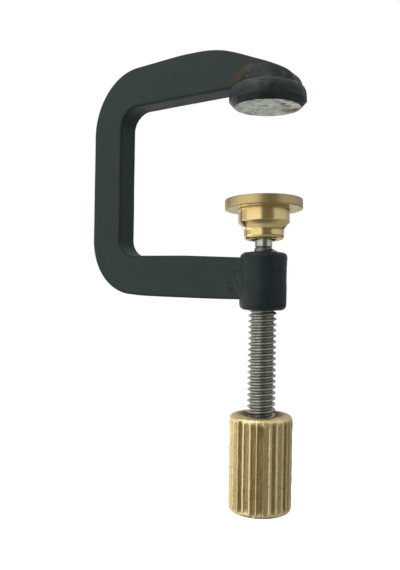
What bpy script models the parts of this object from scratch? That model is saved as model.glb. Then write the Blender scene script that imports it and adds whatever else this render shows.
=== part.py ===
"""Small steel G-clamp with a brass swivel foot and a fluted brass thumb knob.

Shared frame, in metres: the origin is where the screw axis meets the anvil's
bare steel face, +Z runs up the screw axis toward the anvil, +X runs out along
the arms away from the spine, and +Y is the far side of the flat bar.

Order of work:
  1. the flat-bar C frame, seated for the pad and coped for the boss
  2. the anvil pad, the threaded boss and the two braze seams
  3. the clamp screw with its real helical thread
  4. the swivel ball, the retaining ring and the stepped brass foot
  5. the fluted thumb knob
"""
import math

import bpy
import bmesh
from mathutils import Matrix, Vector

# ---------------------------------------------------------------- dimensions
# thread, 1/4-20 UNC
PITCH = 0.00127            # 20 threads per inch
THREAD_R = 0.003175        # major radius, 1/4 in
THREAD_ROOT_R = 0.002488   # minor radius
THREAD_CREST = 0.000160    # flat on each crest
THREAD_BASE = 0.000953     # width of the ridge at its foot
THREAD_STEPS = 16          # facets per turn
THREAD_PHASE_Z = -0.03221  # height of a crest on the +X side

# fits
JOINT_GAP = 0.0003         # between pieces that are fixed together
OVERCUT = 0.0006           # how far cutters run past the faces they open
RUN_GAP = 0.00005          # between the ball and the spigot it turns on
BALL_GAP = 0.00006         # between the ball and its socket
RING_GAP = 0.00008         # round the retaining ring
THREAD_GAP = 0.00010       # between the screw thread and the boss thread

# flat-bar C frame
BAR_T = 0.00635            # 1/4 in bar, measured across the clamp
BAR_EDGE = 0.00045         # rounding of the bar's long edges
SPINE_OUT_X = -0.04595
SPINE_IN_X = -0.03770
UPPER_UNDER_Z0 = 0.0036    # underside of the upper arm, spine end
UPPER_UNDER_Z1 = 0.0048    # the same underside, tip end
UPPER_PEAK_X = -0.0150
UPPER_PEAK_Z = 0.0144
UPPER_TIP_X = 0.0076       # the tip stops inside the pad's rim
LOWER_TOP_Z = -0.0330
LOWER_TOP_Z1 = -0.0337     # the same top edge, boss end
LOWER_UNDER_Z = -0.0431
INNER_TOP_R = 0.0050       # inside corner under the upper arm
INNER_LOW_R = 0.0042       # inside corner over the lower arm

# anvil pad
PAD_X = 0.0005             # brazed a little outboard of the screw axis
PAD_R = 0.0087
PAD_FACE_R = 0.00747
PAD_CHAMFER_H = 0.0013
PAD_H = 0.0052
PAD_EDGE = 0.0015
SEAM_T = 0.0004            # braze seam between the pad and the arm
SEAM_BEAD = 0.0009         # how far that seam shows past the bar
SEAM_CORNER = 0.0012       # rounding of its four corners
SEAM_HALF_X = 0.0056       # half its length along the arm

# threaded boss
BOSS_R = 0.0053
BOSS_TOP_Z = -0.03245
BOSS_BOTTOM_Z = -0.04545
BOSS_EDGE = 0.0012
BOSS_SINK_LIP = 0.0003     # how much wider than the thread each mouth is
BOSS_SINK_SLOPE = 0.8      # depth of a mouth's cone for its radius
BOSS_SEAM_T = 0.0005
BOSS_SEAM_REACH = 0.0030   # how far the seam runs back along the arm
BOSS_SEAM_LIP = 0.0004
BOSS_SEAM_TURN = 56        # degrees that it reaches round the boss on each side

# swivel foot, heights measured down from its gripping face
FOOT_FACE_Z = -0.02068
DISC_R = 0.00876
DISC_T = 0.00216
DISC_EDGE = 0.00025
HUB_R = 0.00578
HUB_END = 0.00532
STEP_END = 0.00740
COLLAR_R = 0.00450
FOOT_H = 0.00902
COLLAR_EDGE = 0.0008
TILT_AXIS = Vector((1.0, 1.0, 0.0)).normalized()
REST_TILT = math.radians(-3.2)

# ball, spigot and retaining ring
BALL_Z = -0.0266
BALL_R = 0.0030
BALL_SEAT = 0.0021         # flat under the ball, below its centre
SPIGOT_R = 0.0012
RIVET_R = 0.0016
RIVET_T = 0.0005
RIVET_DROP = 0.0018        # underside of the rivet head above the ball centre
RING_WIRE_R = 0.00035
RING_DROP = 0.00195        # ring centre below the ball centre

# clamp screw
NECK_R = 0.00193
GROOVE_R = 0.00180
GROOVE_Z = -0.03115
GROOVE_W = 0.00025
RUNOUT_R = 0.00208
THREAD_TOP_Z = -0.0327
SHANK_R = 0.0029
PEEN_R = 0.0037

# thumb knob
KNOB_R = 0.00708
KNOB_TOP_Z = -0.06873
KNOB_BOTTOM_Z = -0.0904
KNOB_TOP_FLAT_R = 0.00587
KNOB_END_R = 0.0012
FLUTES = 28
FLUTE_DEPTH = 0.00042
SINK_R = 0.00455
SINK_H = 0.0011

# ------------------------------------------------------------------ sizes derived
BALL_CENTRE = Vector((0.0, 0.0, BALL_Z))
SOCKET_R = BALL_R + BALL_GAP
RING_R = math.sqrt((BALL_R + RING_GAP + RING_WIRE_R) ** 2 - RING_DROP ** 2)
PAD_SEAT_Z = PAD_H + JOINT_GAP
SEAM_POCKET_Z = PAD_SEAT_Z + SEAM_T + JOINT_GAP
KNOB_BORE_R = SHANK_R + JOINT_GAP
BOSS_COPE_R = BOSS_R + JOINT_GAP + BOSS_SEAM_T + JOINT_GAP
BAR_HALF = BAR_T / 2
THREAD_END_Z = KNOB_TOP_Z + 0.0004


# ------------------------------------------------------------------ helpers
def clear_scene():
    for obj in list(bpy.data.objects):
        bpy.data.objects.remove(obj)


def collection(name):
    made = bpy.data.collections.new(name)
    bpy.context.scene.collection.children.link(made)
    return made


def material(name, colour, metallic, roughness):
    mat = bpy.data.materials.new(name)
    mat.use_nodes = True
    shader = mat.node_tree.nodes["Principled BSDF"]
    shader.inputs["Base Color"].default_value = (*colour, 1.0)
    shader.inputs["Metallic"].default_value = metallic
    shader.inputs["Roughness"].default_value = roughness
    return mat


def put(obj, group, mat=None):
    group.objects.link(obj)
    if mat is not None:
        obj.data.materials.append(mat)
    return obj


def turned(name, profile, steps, closed=False):
    """A shape turned about Z from (radius, height) points running down its outer side."""
    mesh = bpy.data.meshes.new(name)
    points = [(r, 0.0, z) for r, z in profile]
    edges = [(i, i + 1) for i in range(len(points) - 1)]
    if closed:
        edges.append((len(points) - 1, 0))
    mesh.from_pydata(points, edges, [])
    obj = bpy.data.objects.new(name, mesh)
    spin = obj.modifiers.new("turn", "SCREW")
    spin.axis = "Z"
    spin.angle = math.tau
    spin.steps = steps
    spin.render_steps = steps
    spin.use_merge_vertices = True
    spin.merge_threshold = 0.000001
    spin.use_smooth_shade = False
    return obj


def arc(cx, cz, radius, start, end, count):
    """Points on a circular arc, angles in degrees from +X toward +Z."""
    step = (end - start) / count
    turns = [math.radians(start + step * i) for i in range(count + 1)]
    return [(cx + radius * math.cos(t), cz + radius * math.sin(t)) for t in turns]


def prism(name, outline, half, edge=0.0):
    """A flat outline thickened both ways, with its long edges rounded."""
    curve = bpy.data.curves.new(name, "CURVE")
    curve.dimensions = "2D"
    curve.fill_mode = "BOTH"
    curve.extrude = half - edge
    curve.bevel_depth = edge
    curve.bevel_resolution = 1
    curve.offset = -edge
    spline = curve.splines.new("POLY")
    spline.points.add(len(outline) - 1)
    for point, (x, y) in zip(spline.points, outline):
        point.co = (x, y, 0.0, 1.0)
    spline.use_cyclic_u = True
    return bpy.data.objects.new(name, curve)


def to_mesh(obj, turn=None, fill=True):
    """Replace a curve or a live modifier stack by its finished mesh."""
    scratch = collection("scratch")
    scratch.objects.link(obj)
    graph = bpy.context.evaluated_depsgraph_get()
    mesh = bpy.data.meshes.new_from_object(obj.evaluated_get(graph))
    name = obj.name
    bpy.data.objects.remove(obj)
    bpy.data.collections.remove(scratch)
    work = bmesh.new()
    work.from_mesh(mesh)
    bmesh.ops.remove_doubles(work, verts=work.verts, dist=0.000001)
    if turn is not None:
        bmesh.ops.transform(work, matrix=turn, verts=work.verts)
    if fill:
        bmesh.ops.holes_fill(work, edges=[e for e in work.edges if e.is_boundary])
    bmesh.ops.recalc_face_normals(work, faces=work.faces)
    work.to_mesh(mesh)
    work.free()
    mesh.materials.clear()
    mesh.name = name
    return bpy.data.objects.new(name, mesh)


def threaded_rod(name, gap, z_top, z_bottom):
    """A right-handed threaded rod, swelled all over by gap, with a point on each end.

    One pitch of the thread's outline is wound about Z, and the two ragged ends are closed to a
    point on the axis. Both lie past z_top and z_bottom, where they are trimmed away later. The
    thread's phase is fixed by THREAD_PHASE_Z, so that a rod and the hole for it always match.
    """
    spread = gap * math.tan(math.radians(30))
    crest = THREAD_CREST / 2 + spread
    root = THREAD_BASE / 2 + spread
    first = math.floor((z_bottom - THREAD_PHASE_Z) / PITCH) - 1
    base = THREAD_PHASE_Z + first * PITCH
    rod_turns = math.ceil((z_top - base) / PITCH) + 1
    wound = turned(
        name,
        [
            (THREAD_R + gap, base + crest),
            (THREAD_R + gap, base - crest),
            (THREAD_ROOT_R + gap, base - root),
            (THREAD_ROOT_R + gap, base - PITCH + root),
            (THREAD_R + gap, base - PITCH + crest),
        ],
        THREAD_STEPS,
    )
    helix = wound.modifiers["turn"]
    helix.use_merge_vertices = False
    helix.screw_offset = PITCH
    helix.iterations = rod_turns
    rod_mesh = to_mesh(wound, fill=False)
    work = bmesh.new()
    work.from_mesh(rod_mesh.data)
    middle = (z_top + z_bottom) / 2
    for side in (1, -1):
        rim = [
            edge
            for edge in work.edges
            if edge.is_boundary and (edge.verts[0].co.z - middle) * side > 0
        ]
        heights = [v.co.z for e in rim for v in e.verts]
        point = max(heights) + PITCH if side > 0 else min(heights) - PITCH
        tip = work.verts.new((0, 0, point))
        for edge in rim:
            work.faces.new((edge.verts[0], edge.verts[1], tip))
    bmesh.ops.recalc_face_normals(work, faces=work.faces)
    work.to_mesh(rod_mesh.data)
    work.free()
    return rod_mesh


def boolean(obj, cutter, operation, cutters):
    if cutter.name not in cutters.objects:
        cutters.objects.link(cutter)
    cutter.hide_render = True
    cutter.display_type = "WIRE"
    mod = obj.modifiers.new(f"{operation.lower()} {cutter.name}", "BOOLEAN")
    mod.operation = operation
    mod.solver = "EXACT"
    mod.object = cutter
    return obj


def smooth(obj, degrees):
    mesh = obj.data
    mesh.shade_smooth()
    mesh.set_sharp_from_angle(angle=math.radians(degrees))


def rod(name, radius, z_top, z_bottom, steps):
    profile = [(0, z_top), (radius, z_top), (radius, z_bottom), (0, z_bottom)]
    return to_mesh(turned(name, profile, steps))


def box(name, low, high):
    mesh = bpy.data.meshes.new(name)
    work = bmesh.new()
    bmesh.ops.create_cube(work, size=1.0)
    low, high = Vector(low), Vector(high)
    size = Matrix.Diagonal((*(high - low), 1.0))
    bmesh.ops.transform(work, matrix=Matrix.Translation((low + high) / 2) @ size, verts=work.verts)
    work.to_mesh(mesh)
    work.free()
    return bpy.data.objects.new(name, mesh)


# ------------------------------------------------------------------ pieces
def frame_outline():
    """The C of the bar in the X-Z plane, walked clockwise from the foot of the spine's outside."""
    points = []
    # outside of the spine, up into the long top corner
    top_corner_z = -0.0030
    top_meet_x = -0.0330
    top_meet_z = 0.0132
    for i in range(13):
        t = math.radians(180 - 90 * i / 12)
        points.append(
            (
                top_meet_x + (top_meet_x - SPINE_OUT_X) * math.cos(t),
                top_corner_z + (top_meet_z - top_corner_z) * math.sin(t),
            )
        )
    # the back of the upper arm, over its peak and down to the tip
    points += [
        (-0.0262, 0.01385),
        (-0.0205, 0.01428),
        (UPPER_PEAK_X, UPPER_PEAK_Z),
        (-0.0120, 0.01418),
        (-0.0092, 0.01365),
        (-0.0060, 0.01262),
        (-0.0026, 0.01128),
        (0.0013, 0.00972),
        (0.0040, 0.00848),
        (0.0060, 0.00736),
        (0.0069, 0.00652),
        (UPPER_TIP_X, PAD_H + 0.0002),
    ]
    # spare stock under the tip, which the pad's seat is cut out of
    spare_z = UPPER_UNDER_Z1 - 0.0018
    points += [(UPPER_TIP_X, spare_z), (-0.0055, spare_z)]
    # underside of the upper arm and the inside top corner
    points.append((-0.0070, UPPER_UNDER_Z1 - 0.0002))
    points.append((SPINE_IN_X + INNER_TOP_R + 0.0005, UPPER_UNDER_Z0))
    points += arc(SPINE_IN_X + INNER_TOP_R, UPPER_UNDER_Z0 - INNER_TOP_R, INNER_TOP_R, 90, 180, 8)[1:]
    # inside of the spine and the inside bottom corner
    points += arc(SPINE_IN_X + INNER_LOW_R, LOWER_TOP_Z + INNER_LOW_R, INNER_LOW_R, 180, 270, 7)
    # top of the lower arm, the boss end, and back along its underside
    points.append((-0.0190, LOWER_TOP_Z - 0.0001))
    points.append((0.0, LOWER_TOP_Z1))
    points.append((0.0, LOWER_UNDER_Z))
    points.append((-0.0128, LOWER_UNDER_Z))
    points.append((-0.0293, LOWER_UNDER_Z + 0.0003))
    low_meet_x = -0.0345
    low_corner_z = -0.0290
    low_meet_z = LOWER_UNDER_Z + 0.0006
    for i in range(11):
        t = math.radians(270 - 90 * i / 10)
        points.append(
            (
                low_meet_x + (low_meet_x - SPINE_OUT_X) * math.cos(t),
                low_corner_z + (low_corner_z - low_meet_z) * math.sin(t),
            )
        )
    return points


def make_frame(group, cutters, mat):
    upright = Matrix.Rotation(math.radians(90), 4, "X")
    bar = to_mesh(prism("frame_bar", frame_outline(), BAR_HALF, BAR_EDGE), upright)
    put(bar, group, mat)
    seat = rod("cut_pad_seat", PAD_R + JOINT_GAP, PAD_SEAT_Z, -0.001, 48)
    seat.data.transform(Matrix.Translation((PAD_X, 0, 0)))
    boolean(bar, seat, "DIFFERENCE", cutters)
    pocket = box(
        "cut_seam_pocket",
        (PAD_X - SEAM_HALF_X - JOINT_GAP, -BAR_T, PAD_SEAT_Z - 0.001),
        (PAD_X + SEAM_HALF_X + JOINT_GAP, BAR_T, SEAM_POCKET_Z),
    )
    boolean(bar, pocket, "DIFFERENCE", cutters)
    cope = rod("cut_boss_cope", BOSS_COPE_R, LOWER_TOP_Z + 0.002, LOWER_UNDER_Z - 0.002, 48)
    boolean(bar, cope, "DIFFERENCE", cutters)
    smooth(bar, 35)
    return bar


def make_pad(group, mat):
    profile = [(0, PAD_H)]
    profile += arc(PAD_R - PAD_EDGE, PAD_H - PAD_EDGE, PAD_EDGE, 90, 0, 6)
    profile += [(PAD_R, PAD_CHAMFER_H), (PAD_FACE_R, 0), (0, 0)]
    pad = to_mesh(turned("anvil_pad", profile, 40))
    pad.data.transform(Matrix.Translation((PAD_X, 0, 0)))
    put(pad, group, mat)
    smooth(pad, 30)
    return pad


def make_pad_seam(group, mat):
    """The braze seam between the pad and the arm, a bead showing on both faces of the bar."""
    half_x = SEAM_HALF_X
    half_y = BAR_HALF + SEAM_BEAD
    corner = SEAM_CORNER
    outline = arc(half_x - corner, half_y - corner, corner, 0, 90, 4)
    outline += arc(corner - half_x, half_y - corner, corner, 90, 180, 4)
    outline += arc(corner - half_x, corner - half_y, corner, 180, 270, 4)
    outline += arc(half_x - corner, corner - half_y, corner, 270, 360, 4)
    middle = PAD_H + JOINT_GAP + SEAM_T / 2
    lift = Matrix.Translation((PAD_X, 0, middle))
    seam = to_mesh(prism("anvil_braze", outline, SEAM_T / 2, SEAM_T / 4), lift)
    put(seam, group, mat)
    smooth(seam, 40)
    return seam


def make_boss(group, cutters, mat):
    profile = [(0, BOSS_TOP_Z)]
    profile += arc(BOSS_R - BOSS_EDGE, BOSS_TOP_Z - BOSS_EDGE, BOSS_EDGE, 90, 0, 4)
    profile += arc(BOSS_R - BOSS_EDGE, BOSS_BOTTOM_Z + BOSS_EDGE, BOSS_EDGE, 0, -90, 4)
    profile += [(0, BOSS_BOTTOM_Z)]
    boss = put(turned("boss_sleeve", profile, THREAD_STEPS * 2), group, mat)
    hole = threaded_rod("cut_boss_thread", THREAD_GAP, BOSS_TOP_Z, BOSS_BOTTOM_Z)
    boolean(boss, hole, "DIFFERENCE", cutters)
    mouth = THREAD_R + THREAD_GAP + BOSS_SINK_LIP
    for name, end, way in (("cut_sink_top", BOSS_TOP_Z, 1), ("cut_sink_low", BOSS_BOTTOM_Z, -1)):
        above = end + way * OVERCUT
        sink = [(0, above), (mouth, above), (mouth, end), (0, end - way * mouth * BOSS_SINK_SLOPE)]
        cutter = to_mesh(turned(name, sink[::way], THREAD_STEPS * 2))
        boolean(boss, cutter, "DIFFERENCE", cutters)
    smooth(boss, 30)
    return boss


def make_boss_seam(group, mat):
    """The braze seam round the coped end of the lower arm, with a hollow fillet on each face."""
    inner = BOSS_R + JOINT_GAP
    outer = inner + BOSS_SEAM_T
    face = BAR_HALF + JOINT_GAP
    back_x = -(BOSS_R + BOSS_SEAM_REACH)
    meet = 180 - math.degrees(math.asin(face / outer))
    side = [(back_x, face), (back_x, face + BOSS_SEAM_LIP)]
    start = Vector((back_x, face + BOSS_SEAM_LIP))
    end_turn = math.radians(180 - BOSS_SEAM_TURN)
    end = Vector((inner * math.cos(end_turn), inner * math.sin(end_turn)))
    pull = Vector((-inner * 0.92, face + BOSS_SEAM_LIP))
    for i in range(1, 7):
        t = i / 6
        point = start * (1 - t) ** 2 + pull * 2 * t * (1 - t) + end * t ** 2
        side.append((point.x, point.y))
    outline = side[:-1]
    outline += arc(0, 0, inner, 180 - BOSS_SEAM_TURN, 180 + BOSS_SEAM_TURN, 14)
    outline += [(x, -y) for x, y in reversed(side[:-1])]
    outline += arc(0, 0, outer, 360 - meet, meet, 8)
    half = (LOWER_TOP_Z1 - LOWER_UNDER_Z) / 2 - 0.0002
    lift = Matrix.Translation((0, 0, (LOWER_TOP_Z1 + LOWER_UNDER_Z) / 2))
    seam = to_mesh(prism("boss_braze", outline, half), lift)
    put(seam, group, mat)
    smooth(seam, 30)
    return seam


def make_screw(group, cutters, mat):
    seat_z = BALL_Z - BALL_SEAT - RUN_GAP
    rivet_z = BALL_Z + RIVET_DROP + RUN_GAP
    sink_z = KNOB_BOTTOM_Z + SINK_H
    profile = [
        (0, rivet_z + RIVET_T),
        (RIVET_R * 0.8, rivet_z + RIVET_T),
        (RIVET_R, rivet_z + RIVET_T * 0.6),
        (RIVET_R, rivet_z),
        (SPIGOT_R, rivet_z),
        (SPIGOT_R, seat_z),
        (NECK_R, seat_z),
        (NECK_R, GROOVE_Z + GROOVE_W),
        (GROOVE_R, GROOVE_Z),
        (RUNOUT_R, GROOVE_Z - GROOVE_W),
        (RUNOUT_R + 0.0002, THREAD_TOP_Z),
        (RUNOUT_R + 0.0002, THREAD_END_Z),
        (SHANK_R, THREAD_END_Z - 0.0006),
        (SHANK_R, sink_z),
        (PEEN_R, KNOB_BOTTOM_Z + JOINT_GAP + 0.0002),
        (PEEN_R * 0.9, KNOB_BOTTOM_Z + 0.0002),
        (0, KNOB_BOTTOM_Z + 0.0001),
    ]
    screw = put(turned("clamp_screw", profile, THREAD_STEPS), group, mat)
    thread = threaded_rod("clamp_thread", 0.0, THREAD_TOP_Z, THREAD_END_Z)
    ends = [
        (0, THREAD_TOP_Z + 0.0009),
        (RUNOUT_R - 0.0004, THREAD_TOP_Z + 0.0009),
        (THREAD_R + 0.0004, THREAD_TOP_Z - 0.0010),
        (THREAD_R + 0.0004, THREAD_END_Z + 0.0004),
        (RUNOUT_R - 0.0004, THREAD_END_Z - 0.0004),
        (0, THREAD_END_Z - 0.0004),
    ]
    boolean(thread, to_mesh(turned("cut_thread_ends", ends, THREAD_STEPS * 2)), "INTERSECT", cutters)
    boolean(screw, thread, "UNION", cutters)
    smooth(screw, 30)
    return screw


def make_ball(group, mat):
    """A ball bored for the spigot, flatted below and sunk above for the rivet head."""
    bore = SPIGOT_R + RUN_GAP
    sink = RIVET_R + RUN_GAP
    low = math.degrees(math.asin(BALL_SEAT / BALL_R))
    high = math.degrees(math.acos((sink + 0.0002) / BALL_R))
    top_z = BALL_R * math.sin(math.radians(high))
    profile = arc(0, 0, BALL_R, high, -low, 12)
    profile += [(bore, -BALL_SEAT), (bore, RIVET_DROP), (sink, RIVET_DROP), (sink, top_z)]
    ball = to_mesh(turned("swivel_ball", profile, 24, closed=True))
    put(ball, group, mat)
    ball.location = BALL_CENTRE
    smooth(ball, 40)
    return ball


def tilt_to_rest(obj):
    obj.location = BALL_CENTRE
    obj.rotation_mode = "QUATERNION"
    obj.rotation_quaternion = Matrix.Rotation(REST_TILT, 3, TILT_AXIS).to_quaternion()
    return obj


def make_ring(group, mat):
    profile = arc(RING_R, -RING_DROP, RING_WIRE_R, 180, -180, 8)[:-1]
    ring = to_mesh(turned("retaining_ring", profile, 28, closed=True))
    put(ring, group, mat)
    smooth(ring, 60)
    return tilt_to_rest(ring)


def make_foot(group, mat):
    """Stepped brass foot: gripping disc, hub, hollow step, collar, and a socket opening below."""
    face = FOOT_FACE_Z - BALL_Z
    disc = face - DISC_T
    hub = face - HUB_END
    step = face - STEP_END
    foot = face - FOOT_H
    groove_r = RING_R + RING_WIRE_R + RING_GAP
    groove_half = RING_WIRE_R + RING_GAP
    profile = [(0, face)]
    profile += arc(DISC_R - DISC_EDGE, face - DISC_EDGE, DISC_EDGE, 90, 0, 2)
    profile += arc(DISC_R - DISC_EDGE, disc + DISC_EDGE, DISC_EDGE, 0, -90, 2)
    profile += [(HUB_R, disc), (HUB_R, hub + 0.00025), (HUB_R - 0.00012, hub)]
    for i in range(1, 5):
        t = i / 5
        radius = COLLAR_R + (HUB_R - 0.00012 - COLLAR_R) * (1 - t) ** 2
        profile.append((radius, hub + (step - hub) * t))
    profile.append((COLLAR_R, step))
    profile += arc(COLLAR_R - COLLAR_EDGE, foot + COLLAR_EDGE, COLLAR_EDGE, 0, -90, 4)
    profile += [
        (SOCKET_R + 0.00010, foot),
        (SOCKET_R, foot + 0.00015),
        (SOCKET_R, -RING_DROP - groove_half),
        (groove_r, -RING_DROP - groove_half),
        (groove_r, -RING_DROP + groove_half),
        (SOCKET_R, -RING_DROP + groove_half),
    ]
    profile += arc(0, 0, SOCKET_R, 0, 90, 9)[:-1]
    profile.append((0, SOCKET_R))
    body = to_mesh(turned("foot_body", profile, 36))
    put(body, group, mat)
    smooth(body, 30)
    return tilt_to_rest(body)


def make_knob(group, cutters, mat):
    """Fluted bar stock, its ends turned round and both ends sunk round the bore."""
    outline = []
    for i in range(FLUTES):
        for share, depth in ((-0.22, 0.0), (0.22, 0.0), (0.40, 0.8), (0.60, 0.8)):
            t = math.tau * (i + share) / FLUTES
            radius = KNOB_R - depth * FLUTE_DEPTH
            outline.append((radius * math.cos(t), radius * math.sin(t)))
    half = (KNOB_TOP_Z - KNOB_BOTTOM_Z) / 2 + 0.001
    lift = Matrix.Translation((0, 0, (KNOB_TOP_Z + KNOB_BOTTOM_Z) / 2))
    knob = put(to_mesh(prism("thumb_knob", outline, half), lift), group, mat)
    drop = KNOB_R - KNOB_TOP_FLAT_R
    bends = [math.radians(a) for a in (0, 22, 45, 68, 84)]
    shoulder = [
        (KNOB_TOP_FLAT_R + drop * math.sin(t), KNOB_END_R * (1 - math.cos(t))) for t in bends
    ]
    wide = KNOB_R + OVERCUT
    ends = [(0, KNOB_TOP_Z)]
    ends += [(radius, KNOB_TOP_Z - fall) for radius, fall in shoulder]
    ends += [(wide, KNOB_TOP_Z - KNOB_END_R), (wide, KNOB_BOTTOM_Z + KNOB_END_R)]
    ends += [(radius, KNOB_BOTTOM_Z + fall) for radius, fall in reversed(shoulder)]
    ends.append((0, KNOB_BOTTOM_Z))
    shape = to_mesh(turned("cut_knob_ends", ends, FLUTES * 2))
    boolean(knob, shape, "INTERSECT", cutters)
    bore = to_mesh(
        turned(
            "cut_knob_bore",
            [
                (0, KNOB_TOP_Z + 0.001),
                (SINK_R, KNOB_TOP_Z + 0.001),
                (SINK_R, KNOB_TOP_Z - 0.0001),
                (KNOB_BORE_R + 0.0002, KNOB_TOP_Z - SINK_H),
                (KNOB_BORE_R, KNOB_TOP_Z - SINK_H - 0.0003),
                (KNOB_BORE_R, KNOB_BOTTOM_Z + SINK_H + JOINT_GAP),
                (SINK_R, KNOB_BOTTOM_Z + 0.0001),
                (SINK_R, KNOB_BOTTOM_Z - 0.001),
                (0, KNOB_BOTTOM_Z - 0.001),
            ],
            32,
        )
    )
    boolean(knob, bore, "DIFFERENCE", cutters)
    smooth(knob, 30)
    return knob


def main():
    clear_scene()
    group = collection("g_clamp")
    cutters = collection("cutters")
    paint = material("black_paint", (0.035, 0.042, 0.045), 0.0, 0.38)
    bare = material("bare_steel", (0.42, 0.43, 0.42), 1.0, 0.35)
    screw_steel = material("screw_steel", (0.30, 0.30, 0.27), 1.0, 0.42)
    brass = material("turned_brass", (0.62, 0.50, 0.28), 1.0, 0.28)
    old_brass = material("knob_brass", (0.50, 0.41, 0.25), 1.0, 0.42)
    braze = material("braze_metal", (0.20, 0.14, 0.09), 0.6, 0.55)
    boss_paint = material("boss_paint", (0.03, 0.036, 0.04), 0.0, 0.42)
    pad_paint = material("pad_paint", (0.032, 0.038, 0.04), 0.0, 0.40)
    ring_steel = material("spring_steel", (0.35, 0.35, 0.36), 1.0, 0.30)
    seam_paint = material("boss_braze_paint", (0.045, 0.05, 0.05), 0.1, 0.50)

    make_frame(group, cutters, paint)
    make_pad(group, pad_paint)
    make_pad_seam(group, braze)
    make_boss(group, cutters, boss_paint)
    make_boss_seam(group, seam_paint)
    make_screw(group, cutters, screw_steel)
    make_ball(group, bare)
    make_ring(group, ring_steel)
    make_foot(group, brass)
    make_knob(group, cutters, old_brass)


main()
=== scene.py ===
"""Looks of a small painted steel G-clamp with a brass swivel foot and a fluted brass thumb knob.

Every shape is a surface worked out in metres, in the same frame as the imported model: the origin
is where the screw axis meets the anvil's bare face, +Z runs up the screw toward the anvil, and
+X runs out along the arms away from the spine.
"""
import logging
import math
from dataclasses import dataclass, field
from enum import Enum

import bpy
import numpy as np
from mathutils import Matrix, Vector


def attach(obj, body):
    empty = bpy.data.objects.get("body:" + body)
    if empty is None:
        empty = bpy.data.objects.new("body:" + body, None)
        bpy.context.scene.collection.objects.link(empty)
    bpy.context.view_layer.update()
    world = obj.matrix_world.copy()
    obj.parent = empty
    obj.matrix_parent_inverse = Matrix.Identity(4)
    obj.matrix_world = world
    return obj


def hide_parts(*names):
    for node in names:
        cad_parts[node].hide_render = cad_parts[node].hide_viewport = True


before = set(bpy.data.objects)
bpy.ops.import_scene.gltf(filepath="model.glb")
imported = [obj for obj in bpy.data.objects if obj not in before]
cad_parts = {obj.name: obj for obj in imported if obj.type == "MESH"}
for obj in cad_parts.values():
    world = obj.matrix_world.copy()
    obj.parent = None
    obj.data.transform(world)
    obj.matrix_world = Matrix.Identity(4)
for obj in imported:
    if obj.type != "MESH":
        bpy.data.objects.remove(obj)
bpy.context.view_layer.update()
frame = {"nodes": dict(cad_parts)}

Array = np.ndarray
Pair = tuple[float, float]
Colour = tuple[float, float, float]
Material = bpy.types.Material
NodeTree = bpy.types.NodeTree
Socket = bpy.types.NodeSocket
MM = 0.001
TURN = 2 * math.pi
LOG = logging.getLogger("clamp")


class Body(Enum):
    """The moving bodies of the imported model."""

    FRAME = "frame"
    BALL = "ball"
    SCREW = "screw"
    RING = "ring"
    FOOT = "foot"


class Slot(Enum):
    """Names of the material slots."""

    BAR_PAINT = "black_paint"
    PAD_PAINT = "pad_paint"
    BOSS_PAINT = "boss_paint"
    BRAZE = "braze"
    SCREW_STEEL = "screw_steel"
    BARE_STEEL = "bare_steel"
    BRASS = "brass"
    KNOB_BRASS = "knob_brass"


# ---------------------------------------------------------------- numbers on whole arrays
def ease(low: float, high: float, value: Array) -> Array:
    """A smooth climb from 0 at low to 1 at high: 3t^2 - 2t^3 of the clipped share t.

    Args:
        low: where the climb starts.
        high: where it ends.
        value: the values to look up.

    Returns:
        The climb at each value, 0 to 1.
    """
    share = np.clip((value - low) / (high - low), 0.0, 1.0)
    return share * share * (3.0 - 2.0 * share)


def ripple(points: Array, wavelength: float, seed: int, waves: int = 14) -> Array:
    """An even, soft unevenness in space: a sum of plane waves in seeded directions.

    Args:
        points: (..., 3) places in metres.
        wavelength: the middle of the waves' lengths, in metres.
        seed: what the directions and phases are drawn from.
        waves: how many plane waves are added.

    Returns:
        The field at each point, about -1 to 1.
    """
    draw = np.random.default_rng(seed)
    ways = draw.normal(size=(waves, 3))
    ways /= np.linalg.norm(ways, axis=1, keepdims=True)
    ways *= (TURN / wavelength) * draw.uniform(0.6, 1.5, (waves, 1))
    phase = draw.uniform(0.0, TURN, waves)
    return np.sin(points @ ways.T + phase).sum(-1) / math.sqrt(waves)


def rounded(corners: Array, radii: Array, steps: int = 6) -> Array:
    """A flat path with its corners rounded.

    Each corner P is swapped for the quadratic curve (1-t)^2 A + 2t(1-t) P + t^2 B, where A and B
    lie on its two sides at the corner's radius. Two corners that would need more than their side
    is long share it in proportion to their radii.

    Args:
        corners: (n, 2) corners of the path.
        radii: (n,) rounding of each corner; 0 keeps it sharp.
        steps: points on each rounding.

    Returns:
        (m, 2) points, with repeats dropped.
    """
    before = np.roll(corners, 1, 0)
    after = np.roll(corners, -1, 0)
    before[0], after[-1] = corners[0], corners[-1]
    back, fore = before - corners, after - corners
    back_length = np.linalg.norm(back, axis=1, keepdims=True)
    fore_length = np.linalg.norm(fore, axis=1, keepdims=True)
    own = radii[:, None]
    back_share = own / np.maximum(own + np.roll(own, 1, 0), 1e-9)
    fore_share = own / np.maximum(own + np.roll(own, -1, 0), 1e-9)
    room = 0.97 * np.minimum(back_length * back_share, fore_length * fore_share)
    reach = np.minimum(own, room)
    start = corners + back / np.maximum(back_length, 1e-9) * reach
    end = corners + fore / np.maximum(fore_length, 1e-9) * reach
    t = np.linspace(0.0, 1.0, steps)[None, :, None]
    curve = quadratic(start[:, None], corners[:, None], end[:, None], t)
    return distinct(curve.reshape(-1, 2), 1e-7)


def quadratic(start: Array, bend: Array, end: Array, t: Array) -> Array:
    """The curve (1-t)^2 start + 2t(1-t) bend + t^2 end."""
    return (1 - t) ** 2 * start + 2 * t * (1 - t) * bend + t * t * end


def distinct(path: Array, nearest: float) -> Array:
    """A path without the points that lie within nearest of the point before."""
    keep = np.append(True, np.linalg.norm(np.diff(path, axis=0), axis=1) > nearest)
    return path[keep]


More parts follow.
